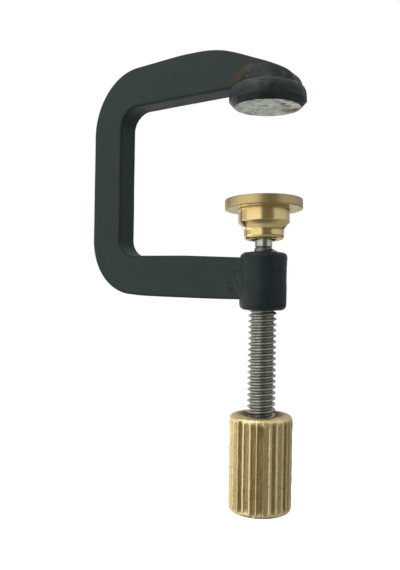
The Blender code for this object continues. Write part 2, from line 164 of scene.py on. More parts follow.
def finely(path: Array, spacing: float) -> Array:
    """A path with extra points along its long stretches, none further apart than spacing.

    Args:
        path: (n, d) points.
        spacing: the longest step allowed, in metres.

    Returns:
        (m, d) points, the old ones among them.
    """
    run = path_length(path)
    extra = np.arange(0.0, run[-1], spacing)
    gap = np.abs(extra[:, None] - run[None, :]).min(1)
    return points_at(path, np.sort(np.concatenate([run, extra[gap > spacing * 0.4]])))


def path_length(path: Array) -> Array:
    """Distance walked along a path up to each of its points."""
    return np.concatenate([[0.0], np.cumsum(np.linalg.norm(np.diff(path, axis=0), axis=1))])


def evenly(path: Array, count: int) -> Array:
    """count points spread evenly along a path."""
    return points_at(path, np.linspace(0.0, path_length(path)[-1], count))


def points_at(path: Array, places: Array) -> Array:
    """The points of a path at the given distances along it."""
    run = path_length(path)
    return np.stack([np.interp(places, run, axis) for axis in path.T], -1)


def flowing(points: Array, steps: int = 8) -> Array:
    """A smooth curve through flat points: on each span, the cubic whose slopes at both ends are
    half the line between that end's two neighbours (Catmull-Rom).

    Args:
        points: (n, 2) points it passes through.
        steps: points for each span.

    Returns:
        (m, 2) points.
    """
    ends = np.concatenate([2 * points[:1] - points[1:2], points, 2 * points[-1:] - points[-2:-1]])
    a, b, c, d = (ends[i : len(ends) - 3 + i, None] for i in range(4))
    t = np.linspace(0.0, 1.0, steps, endpoint=False)[None, :, None]
    curve = 2 * b + (c - a) * t + (2 * a - 5 * b + 4 * c - d) * t * t + (3 * b - a - 3 * c + d) * t**3
    return np.concatenate([(0.5 * curve).reshape(-1, 2), points[-1:]])


def bow(centre: Pair, radii: Pair, start: float, end: float, count: int) -> Array:
    """Points on an upright ellipse's arc, angles in degrees from +X toward +Z.

    Args:
        centre: the ellipse's middle.
        radii: its half width and half height.
        start: first angle.
        end: last angle.
        count: how many points.

    Returns:
        (count, 2) points.
    """
    angle = np.radians(np.linspace(start, end, count))
    return np.stack([centre[0] + radii[0] * np.cos(angle), centre[1] + radii[1] * np.sin(angle)], -1)


# ---------------------------------------------------------------- surfaces
@dataclass
class Shell:
    """One closed surface: its points, its faces and named values at its points."""

    points: Array
    faces: list[Array]
    values: dict[str, Array] = field(default_factory=dict)

    def outward(self) -> "Shell":
        """The same shell with its faces turned so that the volume they enclose is positive."""
        whole = 0.0
        for group in self.faces:
            corner = self.points[group]
            for i in range(1, group.shape[1] - 1):
                cross = np.cross(corner[:, i], corner[:, i + 1])
                whole += float((corner[:, 0] * cross).sum())
        faces = [group[:, ::-1] for group in self.faces] if whole < 0 else self.faces
        return Shell(self.points, faces, self.values)

    def joined(self, other: "Shell") -> "Shell":
        """This shell and another as one.

        Args:
            other: the shell to add; it has the same named values.

        Returns:
            A shell with the points and faces of both.
        """
        shift = len(self.points)
        return Shell(
            np.concatenate([self.points, other.points]),
            self.faces + [group + shift for group in other.faces],
            {name: np.concatenate([old, other.values[name]]) for name, old in self.values.items()},
        )


def grid_quads(rows: int, columns: int, wrap_rows: bool, wrap_columns: bool) -> Array:
    """Quads between neighbours of a grid numbered row by row.

    Args:
        rows: number of rows.
        columns: number of columns.
        wrap_rows: whether the last row joins the first.
        wrap_columns: whether the last column joins the first.

    Returns:
        (q, 4) point numbers.
    """
    row = np.arange(rows if wrap_rows else rows - 1)[:, None]
    column = np.arange(columns if wrap_columns else columns - 1)[None, :]
    next_row = (row + 1) % rows
    next_column = (column + 1) % columns
    corners = [
        row * columns + column,
        row * columns + next_column,
        next_row * columns + next_column,
        next_row * columns + column,
    ]
    return np.stack(corners, -1).reshape(-1, 4)


def fan(rim: Array, centre: int) -> Array:
    """Triangles from a closed rim of point numbers to one centre point."""
    return np.stack([rim, np.roll(rim, -1), np.full(len(rim), centre)], -1)


def turned_shell(profile: Array, columns: int, ring: bool = False) -> Shell:
    """A profile turned about Z: the point at distance r and angle a is (r cos a, r sin a, z).

    Args:
        profile: (n, 2) radius and height; its first and last points are on the axis unless ring.
        columns: how many steps round the axis.
        ring: whether the profile closes on itself instead of on the axis.

    Returns:
        The closed shell, with "along", the distance walked on the profile.
    """
    along = path_length(profile)
    body, walked = (profile, along) if ring else (profile[1:-1], along[1:-1])
    angle = np.arange(columns) / columns * TURN
    x = body[:, :1] * np.cos(angle)
    y = body[:, :1] * np.sin(angle)
    z = np.repeat(body[:, 1:], columns, 1)
    points = np.stack([x, y, z], -1).reshape(-1, 3)
    walk = np.repeat(walked, columns)
    faces = [grid_quads(len(body), columns, ring, True)]
    if not ring:
        count = len(points)
        poles = np.array([[0.0, 0.0, profile[0, 1]], [0.0, 0.0, profile[-1, 1]]])
        points = np.concatenate([points, poles])
        faces += [fan(np.arange(columns)[::-1], count), fan(count - columns + np.arange(columns), count + 1)]
        walk = np.concatenate([walk, along[[0, -1]]])
    return Shell(points, faces, {"along": walk})


def swept_shell(sections: Array) -> Shell:
    """Closed sections joined one after the other, with both ends capped by a fan.

    Args:
        sections: (stations, around, 3) points.

    Returns:
        The closed shell.
    """
    stations, around, _ = sections.shape
    points = sections.reshape(-1, 3)
    count = len(points)
    caps = np.stack([sections[0].mean(0), sections[-1].mean(0)])
    faces = [
        grid_quads(stations, around, False, True),
        fan(np.arange(around)[::-1], count),
        fan(count - around + np.arange(around), count + 1),
    ]
    return Shell(np.concatenate([points, caps]), faces)


def piece(name: str, shell: Shell, finish: Material, crease: float = 40.0) -> bpy.types.Object:
    """A mesh object at the origin made from a shell.

    Args:
        name: the piece's name.
        shell: its surface.
        finish: its material.
        crease: edges sharper than this many degrees stay sharp.

    Returns:
        The object, linked to the scene.
    """
    shell = shell.outward()
    mesh = bpy.data.meshes.new(name)
    sizes = np.concatenate([np.full(len(group), group.shape[1]) for group in shell.faces])
    corners = np.concatenate([group.reshape(-1) for group in shell.faces])
    mesh.vertices.add(len(shell.points))
    mesh.vertices.foreach_set("co", shell.points.astype(np.float32).reshape(-1))
    mesh.loops.add(len(corners))
    mesh.loops.foreach_set("vertex_index", corners.astype(np.int32))
    mesh.polygons.add(len(sizes))
    starts = np.concatenate([[0], np.cumsum(sizes)[:-1]])
    mesh.polygons.foreach_set("loop_start", starts.astype(np.int32))
    mesh.update(calc_edges=True)
    mesh.validate()
    for value_name, values in shell.values.items():
        layer = mesh.attributes.new(value_name, "FLOAT", "POINT")
        layer.data.foreach_set("value", values.astype(np.float32))
    mesh.shade_smooth()
    mesh.set_sharp_from_angle(angle=math.radians(crease))
    mesh.materials.append(finish)
    made = bpy.data.objects.new(name, mesh)
    bpy.context.scene.collection.objects.link(made)
    return made


def settle(made: bpy.types.Object, body: Body, slot: Slot, *nodes: str) -> bpy.types.Object:
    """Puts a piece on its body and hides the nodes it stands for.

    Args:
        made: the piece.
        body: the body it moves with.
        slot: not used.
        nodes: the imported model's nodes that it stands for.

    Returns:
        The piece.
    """
    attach(made, body.value)
    if nodes:
        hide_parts(*nodes)
    LOG.info("%s: %d faces on %s", made.name, len(made.data.polygons), body.value)
    return made


# ---------------------------------------------------------------- shader graphs
class Graph:
    """Adds and links the nodes of one node tree."""

    def __init__(self, tree: NodeTree) -> None:
        """Keeps the tree that the nodes go into."""
        self.tree = tree

    def add(self, kind: str, inputs: dict | None = None, **settings: object) -> bpy.types.Node:
        """A node with some of its inputs linked or set.

        Args:
            kind: the node's type name without its "ShaderNode" start.
            inputs: input name or number to an output socket or a plain value.
            settings: the node's own settings.

        Returns:
            The node.
        """
        made = self.tree.nodes.new("ShaderNode" + kind)
        for name, value in settings.items():
            setattr(made, name, value)
        for key, value in (inputs or {}).items():
            if isinstance(value, Socket):
                self.tree.links.new(value, made.inputs[key])
            else:
                made.inputs[key].default_value = value
        return made

    def math(self, operation: str, a: object, b: object = 0.0, c: object = 0.0) -> Socket:
        """A Math node's result."""
        return self.add("Math", {0: a, 1: b, 2: c}, operation=operation).outputs[0]

    def times(self, a: object, b: object) -> Socket:
        """The product of two values."""
        return self.math("MULTIPLY", a, b)

    def span(self, value: object, low: float, high: float, to: Pair = (0.0, 1.0)) -> Socket:
        """A smooth step of a value from low to high.

        Args:
            value: the output socket to read.
            low: where the step starts.
            high: where it ends.
            to: the results before and after the step.

        Returns:
            The result's socket.
        """
        inputs = {"Value": value, "From Min": low, "From Max": high, "To Min": to[0], "To Max": to[1]}
        return self.add("MapRange", inputs, interpolation_type="SMOOTHSTEP").outputs["Result"]

    def blend(self, share: object, a: object, b: object) -> Socket:
        """A mix of two colours.

        Args:
            share: how much of b.
            a: the first colour or socket.
            b: the second colour or socket.

        Returns:
            The mixed colour's socket.
        """
        first = (*a, 1.0) if isinstance(a, tuple) else a
        second = (*b, 1.0) if isinstance(b, tuple) else b
        made = self.add("Mix", {0: share, 6: first, 7: second}, data_type="RGBA")
        return made.outputs[2]

    def place(self) -> Socket:
        """The point being shaded, in the object's own coordinates."""
        return self.add("TexCoord").outputs["Object"]

    def noise(
        self,
        scale: object,
        detail: float = 3.0,
        rough: float = 0.5,
        vector: object = None,
        twist: float = 0.0,
    ) -> Socket:
        """A noise value at the point being shaded.

        Args:
            scale: how many features fit in a metre.
            detail: how many finer layers are added.
            rough: how strong the finer layers are.
            vector: where to read it, the object's own coordinates if None.
            twist: how much the noise bends itself.

        Returns:
            The noise's value socket.
        """
        inputs = {"Scale": scale, "Detail": detail, "Roughness": rough, "Distortion": twist}
        return self.add("TexNoise", {"Vector": vector or self.place(), **inputs}).outputs["Fac"]

    def value(self, name: str) -> Socket:
        """A named value of the mesh."""
        return self.add("Attribute", attribute_name=name, attribute_type="GEOMETRY").outputs["Fac"]


class Effects:
    """Shader node groups that several finishes share, each built once."""

    def __init__(self) -> None:
        """Builds the groups."""
        self.mottle = self._mottle()
        self.specks = self._specks()
        self.rub = self._rub()
        self.lathe = self._lathe()
        self.bloom = self._bloom()
        self.orange_peel = self._orange_peel()
        self.scratches = self._scratches()

    @staticmethod
    def _group(
        name: str, inputs: dict[str, float], outputs: list[str]
    ) -> tuple[NodeTree, Graph, bpy.types.Node, bpy.types.Node]:
        """An empty group with float sockets.

        Args:
            name: the group's name.
            inputs: input names and their usual values.
            outputs: output names.

        Returns:
            The group, its graph, its input node and its output node.
        """
        tree = bpy.data.node_groups.new(name, "ShaderNodeTree")
        kind = "NodeSocketFloat"
        for socket_name, usual in inputs.items():
            socket = tree.interface.new_socket(name=socket_name, in_out="INPUT", socket_type=kind)
            socket.default_value = usual
        for socket_name in outputs:
            tree.interface.new_socket(name=socket_name, in_out="OUTPUT", socket_type=kind)
        source = tree.nodes.new("NodeGroupInput")
        sink = tree.nodes.new("NodeGroupOutput")
        return tree, Graph(tree), source, sink

    def _mottle(self) -> NodeTree:
        """Cloudy change in tone: a coarse noise plus half a finer one."""
        tree, graph, source, sink = self._group("cloudy mottle", {"Scale": 300.0}, ["Mask"])
        coarse = graph.noise(source.outputs["Scale"], 4.0, 0.6, twist=0.4)
        fine = graph.noise(graph.times(source.outputs["Scale"], 4.3), 3.0)
        both = graph.math("ADD", coarse, graph.times(fine, 0.5))
        tree.links.new(graph.span(both, 0.5, 1.0), sink.inputs["Mask"])
        return tree

    def _specks(self) -> NodeTree:
        """Small round specks: the cells whose middle is near, of which a share is kept."""
        inputs = {"Scale": 1200.0, "Size": 0.25, "Share": 0.3}
        tree, graph, source, sink = self._group("small specks", inputs, ["Mask"])
        where = {"Vector": graph.place(), "Scale": source.outputs["Scale"]}
        cells = graph.add("TexVoronoi", where, feature="F1")
        near = graph.math("LESS_THAN", cells.outputs["Distance"], source.outputs["Size"])
        tone = graph.add("SeparateColor", {"Color": cells.outputs["Color"]}).outputs["Red"]
        kept = graph.math("LESS_THAN", tone, source.outputs["Share"])
        tree.links.new(graph.times(near, kept), sink.inputs["Mask"])
        return tree

    def _rub(self) -> NodeTree:
        """Wear on raised edges: the mesh's "edge" value broken up by noise."""
        tree, graph, source, sink = self._group("rubbed edges", {"Scale": 900.0, "Amount": 0.5}, ["Mask"])
        patchy = graph.span(graph.noise(source.outputs["Scale"], 4.0, 0.6), 0.35, 0.68)
        raised = graph.times(graph.value("edge"), patchy)
        tree.links.new(graph.times(raised, source.outputs["Amount"]), sink.inputs["Mask"])
        return tree

    def _lathe(self) -> NodeTree:
        """Turning marks: noise that changes only with the distance along the turned profile."""
        tree, graph, source, sink = self._group("turning marks", {"Marks": 9000.0}, ["Height", "Tone"])
        walk = graph.add("CombineXYZ", {"X": graph.times(graph.value("along"), source.outputs["Marks"])})
        fine = graph.noise(1.0, 3.0, 0.65, walk.outputs[0])
        wide = graph.noise(0.13, 2.0, 0.5, walk.outputs[0])
        tree.links.new(graph.math("ADD", fine, graph.times(wide, 0.6)), sink.inputs["Height"])
        tree.links.new(graph.span(wide, 0.3, 0.7), sink.inputs["Tone"])
        return tree

    def _bloom(self) -> NodeTree:
        """Ragged rust or tarnish blooms: twisted noise above a threshold."""
        tree, graph, source, sink = self._group("ragged bloom", {"Scale": 500.0, "Start": 0.55}, ["Mask"])
        ragged = graph.noise(source.outputs["Scale"], 6.0, 0.65, twist=0.8)
        over = graph.math("SUBTRACT", ragged, source.outputs["Start"])
        tree.links.new(graph.span(over, 0.0, 0.12), sink.inputs["Mask"])
        return tree

    def _orange_peel(self) -> NodeTree:
        """Brushed or sprayed paint: low soft waves with a fine grain on top."""
        tree, graph, source, sink = self._group("paint skin", {"Scale": 900.0, "Grain": 0.3}, ["Height"])
        wave = graph.noise(source.outputs["Scale"], 2.0, 0.4)
        grain = graph.noise(graph.times(source.outputs["Scale"], 7.0), 2.0)
        height = graph.math("ADD", wave, graph.times(grain, source.outputs["Grain"]))
        tree.links.new(height, sink.inputs["Height"])
        return tree

    def _scratches(self) -> NodeTree:
        """Fine hairline scratches: narrow bands of a noise that is long one way and short the other."""
        tree, graph, source, sink = self._group("hairlines", {"Scale": 500.0, "Width": 0.02}, ["Mask"])
        stretched = graph.add(
            "Mapping", {"Vector": graph.place(), "Rotation": (0.3, 0.9, 0.5), "Scale": (0.12, 1.0, 1.0)}
        )
        lines = graph.noise(source.outputs["Scale"], 2.0, 0.5, stretched.outputs[0])
        off = graph.math("ABSOLUTE", graph.math("SUBTRACT", lines, 0.5))
        tree.links.new(graph.math("LESS_THAN", off, source.outputs["Width"]), sink.inputs["Mask"])
        return tree


# ---------------------------------------------------------------- finishes
class Finish:
    """A material under construction: its graph and its shader."""

    def __init__(self, name: str, metallic: float, roughness: float) -> None:
        """Starts a material.

        Args:
            name: the material's name.
            metallic: 1 for bare metal, 0 for paint.
            roughness: the shader's usual roughness.
        """
        self.material = bpy.data.materials.new(name)
        self.material.use_nodes = True
        self.graph = Graph(self.material.node_tree)
        self.shader = self.material.node_tree.nodes["Principled BSDF"]
        self.shader.inputs["Metallic"].default_value = metallic
        self.shader.inputs["Roughness"].default_value = roughness

    def effect(self, tree: NodeTree, output: str, **inputs: float) -> Socket:
        """One output of a shared group placed in this material.

        Args:
            tree: the group.
            output: the output's name.
            inputs: values for its inputs.

        Returns:
            The output's socket.
        """
        made = self.graph.tree.nodes.new("ShaderNodeGroup")
        made.node_tree = tree
        for name, value in inputs.items():
            made.inputs[name].default_value = value
        return made.outputs[output]

    def feed(self, name: str, socket: Socket) -> None:
        """Links a socket to one of the shader's inputs."""
        self.graph.tree.links.new(socket, self.shader.inputs[name])

    def relief(self, height: Socket, depth: float, strength: float = 1.0) -> None:
        """Gives the surface fine relief.

        Args:
            height: the height's socket.
            depth: what a height of 1 is, in metres.
            strength: how much of it shows.
        """
        bump = self.graph.add("Bump", {"Height": height, "Distance": depth, "Strength": strength})
        self.feed("Normal", bump.outputs["Normal"])


RUST: Colour = (0.080, 0.047, 0.027)


@dataclass(frozen=True)
class Band:
    """A soft straight band of rust that shows in patches on both faces of the arm."""

    start: Pair
    end: Pair
    width: float

    def mask(self, made: Finish, effects: Effects) -> Socket:
        """The band's share, 0 to 1.

        Seen from the side, the distance from the band's line is the length of the part of the
        point's offset that is square to the line; the share falls off with it and past both ends.

        Args:
            made: the material under construction.
            effects: the shared groups.

        Returns:
            The mask's socket.
        """
        graph = made.graph
        line = np.subtract(self.end, self.start)
        length = float(np.linalg.norm(line))
        way = (float(line[0]) / length, 0.0, float(line[1]) / length)
        shift = (-self.start[0], 0.0, -self.start[1])
        from_start = {0: graph.place(), 1: (1.0, 0.0, 1.0), 2: shift}
        offset = graph.add("VectorMath", from_start, operation="MULTIPLY_ADD").outputs[0]
        walked = graph.add("VectorMath", {0: offset, 1: way}, operation="DOT_PRODUCT").outputs["Value"]
        along = graph.add("VectorMath", {0: way, "Scale": walked}, operation="SCALE").outputs[0]
        aside = graph.add("VectorMath", {0: offset, 1: along}, operation="SUBTRACT").outputs[0]
        distance = graph.add("VectorMath", {0: aside}, operation="LENGTH").outputs["Value"]
        near = graph.span(distance, 0.0, self.width, (1.0, 0.0))
        before_end = graph.span(walked, length - 0.8 * MM, length + 1.2 * MM, (1.0, 0.0))
        inside = graph.times(graph.span(walked, -1.4 * MM, 0.6 * MM), before_end)
        patches = made.effect(effects.bloom, "Mask", Scale=330.0, Start=0.36)
        band = graph.times(graph.times(near, inside), patches)
        return graph.times(band, 0.62)


ANVIL_RUST = Band((-7.0 * MM, 5.9 * MM), (-2.2 * MM, 9.7 * MM), 2.1 * MM)


@dataclass(frozen=True)
class Paint:
    """Satin black paint on steel, with soft waves, dust, hairlines, rubbed edges and painted shade along its
    rounded edges.
    """

    name: str
    # painted light and shade: one black paint covers the whole frame, and each part gets its own tone,
    # lightest here on the bar and darkest on the boss
    colour: Colour = (0.0275, 0.0425, 0.0410)
    faded: Colour = (0.0350, 0.0505, 0.0485)
    rubbed: Colour = (0.060, 0.070, 0.066)
    # edges: the darker tone laid along the rounded edges as painted shade
    edges: Colour = (0.0100, 0.0160, 0.0160)
    roughness: float = 0.46
    gloss: float = 0.13
    edge_amount: float = 0.12
    # how far the rounded edges are darkened toward that tone, as painted shade
    edge_shade: float = 0.35
    rust_band: Band | None = None

    def make(self, effects: Effects) -> Material:
        """Builds the material.

        Args:
            effects: the shared groups.

        Returns:
            The material.
        """
        made = Finish(self.name, 0.0, self.roughness)
        made.shader.inputs["Specular IOR Level"].default_value = self.gloss
        graph = made.graph
        cloud = made.effect(effects.mottle, "Mask", Scale=160.0)
        tone = graph.blend(graph.times(cloud, 0.75), self.colour, self.faded)
        # painted shade: the rounded edges, marked by the mesh's "edge" value, are darkened
        tone = graph.blend(graph.times(graph.value("edge"), self.edge_shade), tone, self.edges)
        worn = made.effect(effects.rub, "Mask", Scale=700.0, Amount=self.edge_amount)
        tone = graph.blend(worn, tone, self.rubbed)
        lines = made.effect(effects.scratches, "Mask", Scale=260.0, Width=0.006)
        lines = graph.times(lines, made.effect(effects.bloom, "Mask", Scale=90.0, Start=0.55))
        tone = graph.blend(graph.times(lines, 0.35), tone, self.rubbed)
        dust = made.effect(effects.specks, "Mask", Scale=900.0, Size=0.09, Share=0.06)
        tone = graph.blend(graph.times(dust, 0.5), tone, (0.20, 0.20, 0.18))
        if self.rust_band is not None:
            tone = graph.blend(self.rust_band.mask(made, effects), tone, RUST)
        made.feed("Base Color", tone)
        sheen = graph.math("MULTIPLY_ADD", cloud, 0.10, self.roughness - 0.05)
        made.feed("Roughness", graph.math("MULTIPLY_ADD", worn, 0.10, sheen))
        made.relief(made.effect(effects.orange_peel, "Height", Scale=520.0, Grain=0.22), 0.022 * MM)
        return made.material


@dataclass(frozen=True)
class PadFinish:
    """Painted sides and a bare, worn steel face, told apart by the mesh's "bare" value, with a painted
    highlight in streaks on the shoulder's lit side.
    """

    name: str = "anvil finish"
    # painted shade: the pad's sides carry a darker tone of the frame's black paint
    paint: Colour = (0.0112, 0.0208, 0.0212)
    faded: Colour = (0.030, 0.044, 0.042)
    steel: Colour = (0.33, 0.36, 0.325)
    bright: Colour = (0.80, 0.84, 0.76)
    grime: Colour = (0.115, 0.125, 0.110)
    rust: Colour = (0.19, 0.095, 0.048)

    def make(self, effects: Effects) -> Material:
        """Builds the material.

        Args:
            effects: the shared groups.

        Returns:
            The material.
        """
        made = Finish(self.name, 0.0, 0.4)
        made.shader.inputs["Specular IOR Level"].default_value = 0.24
        graph = made.graph
        cloud = made.effect(effects.mottle, "Mask", Scale=230.0)
        stretched = graph.add("Mapping", {"Vector": graph.place(), "Scale": (300.0, 300.0, 2600.0)})
        streaks = graph.noise(1.0, 4.0, 0.6, stretched.outputs[0])
        # painted highlight: the shoulder is lightened in streaks, most on the side toward the window
        shoulder = graph.times(graph.value("edge"), graph.span(streaks, 0.35, 0.7))
        side = graph.blend(graph.times(cloud, 0.5), self.paint, self.faded)
        side = graph.blend(graph.times(shoulder, 0.65), side, (0.088, 0.100, 0.095))
        dust = made.effect(effects.specks, "Mask", Scale=1100.0, Size=0.13, Share=0.05)
        side = graph.blend(graph.times(dust, 0.6), side, (0.26, 0.27, 0.25))
        patches = made.effect(effects.mottle, "Mask", Scale=230.0)
        metal = graph.blend(patches, self.steel, self.bright)
        grime = made.effect(effects.bloom, "Mask", Scale=330.0, Start=0.51)
        metal = graph.blend(graph.times(grime, 0.75), metal, self.grime)
        metal = graph.blend(graph.span(graph.value("nick"), 0.25, 0.6), metal, (0.012, 0.014, 0.013))
        rusty = graph.times(graph.value("rust"), made.effect(effects.bloom, "Mask", Scale=600.0, Start=0.38))
        metal = graph.blend(rusty, metal, self.rust)
        ragged = graph.math("MULTIPLY_ADD", graph.noise(1500.0, 3.0), 0.25, graph.value("bare"))
        bare = graph.span(ragged, 0.56, 0.68)
        made.feed("Base Color", graph.blend(bare, side, metal))
        shiny = graph.times(bare, graph.math("SUBTRACT", 0.8, rusty))
        made.feed("Metallic", graph.math("MAXIMUM", shiny, 0.0))
        rough = graph.math("MULTIPLY_ADD", cloud, 0.12, 0.34)
        made.feed("Roughness", graph.math("MULTIPLY_ADD", bare, 0.12, rough))
        skin = made.effect(effects.orange_peel, "Height", Scale=700.0, Grain=0.4)
        made.relief(graph.math("ADD", skin, graph.times(streaks, 0.5)), 0.02 * MM)
        return made.material


@dataclass(frozen=True)
class BrazeFinish:
    """Painted-over braze metal: lumpy, with brown heat stains and pale flecks."""

    name: str
    # painted shade: the fillets carry darker tones of the frame's black paint than the bar
    paint: Colour = (0.0140, 0.0235, 0.0215)
    stain: Colour = (0.0075, 0.0115, 0.0110)
    pale: Colour = (0.17, 0.175, 0.15)
    cloudy: Colour = (0.023, 0.034, 0.032)
    stain_start: float = 0.56
    flecks: float = 0.10
    lumps: float = 0.05 * MM
    rust_band: Band | None = None

    def make(self, effects: Effects) -> Material:
        """Builds the material.

        Args:
            effects: the shared groups.

        Returns:
            The material.
        """
        made = Finish(self.name, 0.0, 0.42)
        made.shader.inputs["Specular IOR Level"].default_value = 0.18
        graph = made.graph
        cloud = made.effect(effects.mottle, "Mask", Scale=330.0)
        tone = graph.blend(graph.times(cloud, 0.6), self.paint, self.cloudy)
        stained = made.effect(effects.bloom, "Mask", Scale=330.0, Start=self.stain_start)
        tone = graph.blend(graph.times(stained, 0.8), tone, self.stain)
        lines = made.effect(effects.scratches, "Mask", Scale=700.0, Width=0.02)
        lines = graph.times(lines, made.effect(effects.bloom, "Mask", Scale=240.0, Start=0.54))
        tone = graph.blend(graph.times(lines, 0.35), tone, self.pale)
        fleck = made.effect(effects.specks, "Mask", Scale=800.0, Size=0.15, Share=self.flecks)
        tone = graph.blend(fleck, tone, self.pale)
        if self.rust_band is not None:
            tone = graph.blend(self.rust_band.mask(made, effects), tone, RUST)
        made.feed("Base Color", tone)
        made.feed("Roughness", graph.math("MULTIPLY_ADD", cloud, 0.16, 0.33))
        made.relief(made.effect(effects.orange_peel, "Height", Scale=620.0, Grain=0.35), self.lumps)
        return made.material


@dataclass(frozen=True)
class TurnedMetal:
    """Lathe-turned metal with rings that follow its profile, stains and dulled patches, and painted shade in
    a thread's roots.
    """

    name: str
    colour: Colour
    dull: Colour
    stain: Colour
    roughness: float = 0.2
    dullness: float = 0.35
    marks: float = 9000.0
    mark_depth: float = 0.004 * MM
    stain_start: float = 0.6
    pitting: float = 0.0
    dull_rough: float = 0.12
    root_shade: float = 0.0

    def make(self, effects: Effects) -> Material:
        """Builds the material.

        Args:
            effects: the shared groups.

        Returns:
            The material.
        """
        made = Finish(self.name, 1.0, self.roughness)
        graph = made.graph
        cloud = made.effect(effects.mottle, "Mask", Scale=260.0)
        rings = made.effect(effects.lathe, "Tone", Marks=self.marks)
        patchy = graph.times(graph.math("ADD", cloud, rings), self.dullness)
        patchy = graph.math("MINIMUM", graph.math("ADD", patchy, graph.value("dull")), 1.0)
        tone = graph.blend(patchy, self.colour, self.dull)
        # darker toward the stain tone where the "dull" value passes 1: on the foot, in the corner under the
        # disc and on the disc's top rim
        darkened = graph.times(graph.span(graph.value("dull"), 1.0, 1.5), 0.75)
        tone = graph.blend(darkened, tone, self.stain)
        # painted shade: a thread's roots, away from its crests, are darkened toward a dark grey
        if self.root_shade > 0:
            low = graph.span(graph.value("edge"), 0.0, 0.75, (self.root_shade, 0.0))
            tone = graph.blend(low, tone, (0.085, 0.092, 0.078))
        stained = made.effect(effects.bloom, "Mask", Scale=520.0, Start=self.stain_start)
        tone = graph.blend(graph.times(stained, 0.7), tone, self.stain)
        pits = made.effect(effects.specks, "Mask", Scale=1500.0, Size=0.22, Share=self.pitting)
        tone = graph.blend(graph.times(pits, 0.6), tone, self.stain)
        made.feed("Base Color", tone)
        rough = graph.math("MULTIPLY_ADD", patchy, 0.15, self.roughness)
        rough = graph.math("MULTIPLY_ADD", graph.value("dull"), self.dull_rough, rough)
        made.feed("Roughness", graph.math("MULTIPLY_ADD", stained, 0.15, rough))
        made.relief(made.effect(effects.lathe, "Height", Marks=self.marks), self.mark_depth)
        return made.material


@dataclass(frozen=True)
class FlutedBrass:
    """Tarnished cast brass: bright where fingers rub the ridges, brown and grainy in the flutes, with a
    painted highlight on the ridges of the lit side and painted shade in the sunk mouths.
    """

    name: str = "tarnished fluted brass"
    bright: Colour = (0.93, 0.76, 0.43)
    middle: Colour = (0.57, 0.435, 0.215)
    dark: Colour = (0.265, 0.190, 0.085)
    # grime: the darkest tone, painted shade in the sunk mouths and tarnish in the deepest flutes
    grime: Colour = (0.060, 0.054, 0.034)
    roughness: float = 0.36

    def make(self, effects: Effects) -> Material:
        """Builds the material.

        Args:
            effects: the shared groups.

        Returns:
            The material.
        """
        made = Finish(self.name, 1.0, self.roughness)
        graph = made.graph
        raised = graph.value("edge")
        cloud = made.effect(effects.mottle, "Mask", Scale=210.0)
        grain = graph.noise(2300.0, 4.0, 0.75)
        worn = graph.math("MULTIPLY_ADD", graph.math("SUBTRACT", grain, 0.5), 0.9, raised)
        tone = graph.blend(graph.span(worn, 0.05, 0.55), self.dark, self.middle)
        tone = graph.blend(graph.span(worn, 0.5, 1.05), tone, self.bright)
        tone = graph.blend(graph.times(cloud, 0.25), tone, self.middle)
        pits = made.effect(effects.specks, "Mask", Scale=1400.0, Size=0.26, Share=0.22)
        tone = graph.blend(graph.times(pits, 0.55), tone, self.dark)
        # painted shade: where the raised value falls below zero, in the sunk mouths round the screw, the
        # brass is darkened; the deepest flute floors take a little of it as tarnish
        tone = graph.blend(graph.span(raised, -0.28, 0.10, (0.85, 0.0)), tone, self.grime)
        green = made.effect(effects.bloom, "Mask", Scale=380.0, Start=0.58)
        tone = graph.blend(graph.times(green, 0.45), tone, (0.20, 0.155, 0.085))
        made.feed("Base Color", tone)
        rough = graph.math("MULTIPLY_ADD", graph.span(worn, 0.2, 1.0), -0.12, self.roughness + 0.08)
        made.feed("Roughness", graph.math("MULTIPLY_ADD", pits, 0.12, rough))
        height = graph.math("MULTIPLY_ADD", pits, -0.5, graph.noise(2400.0, 4.0, 0.65))
        made.relief(height, 0.10 * MM)
        return made.material


# ---------------------------------------------------------------- the C frame
# the back of the upper arm, from its tip to the spine's corner
ARM_BACK = MM * np.array(
    [
        (7.62, 4.70), (7.52, 5.40), (7.05, 6.35), (6.2, 7.24), (4.0, 8.48), (1.3, 9.72), (-2.6, 11.28),
        (-6.0, 12.62), (-9.2, 13.65), (-12.0, 14.18), (-15.0, 14.40), (-20.5, 14.28), (-26.2, 13.85),
        (-33.0, 13.20),
    ]
)


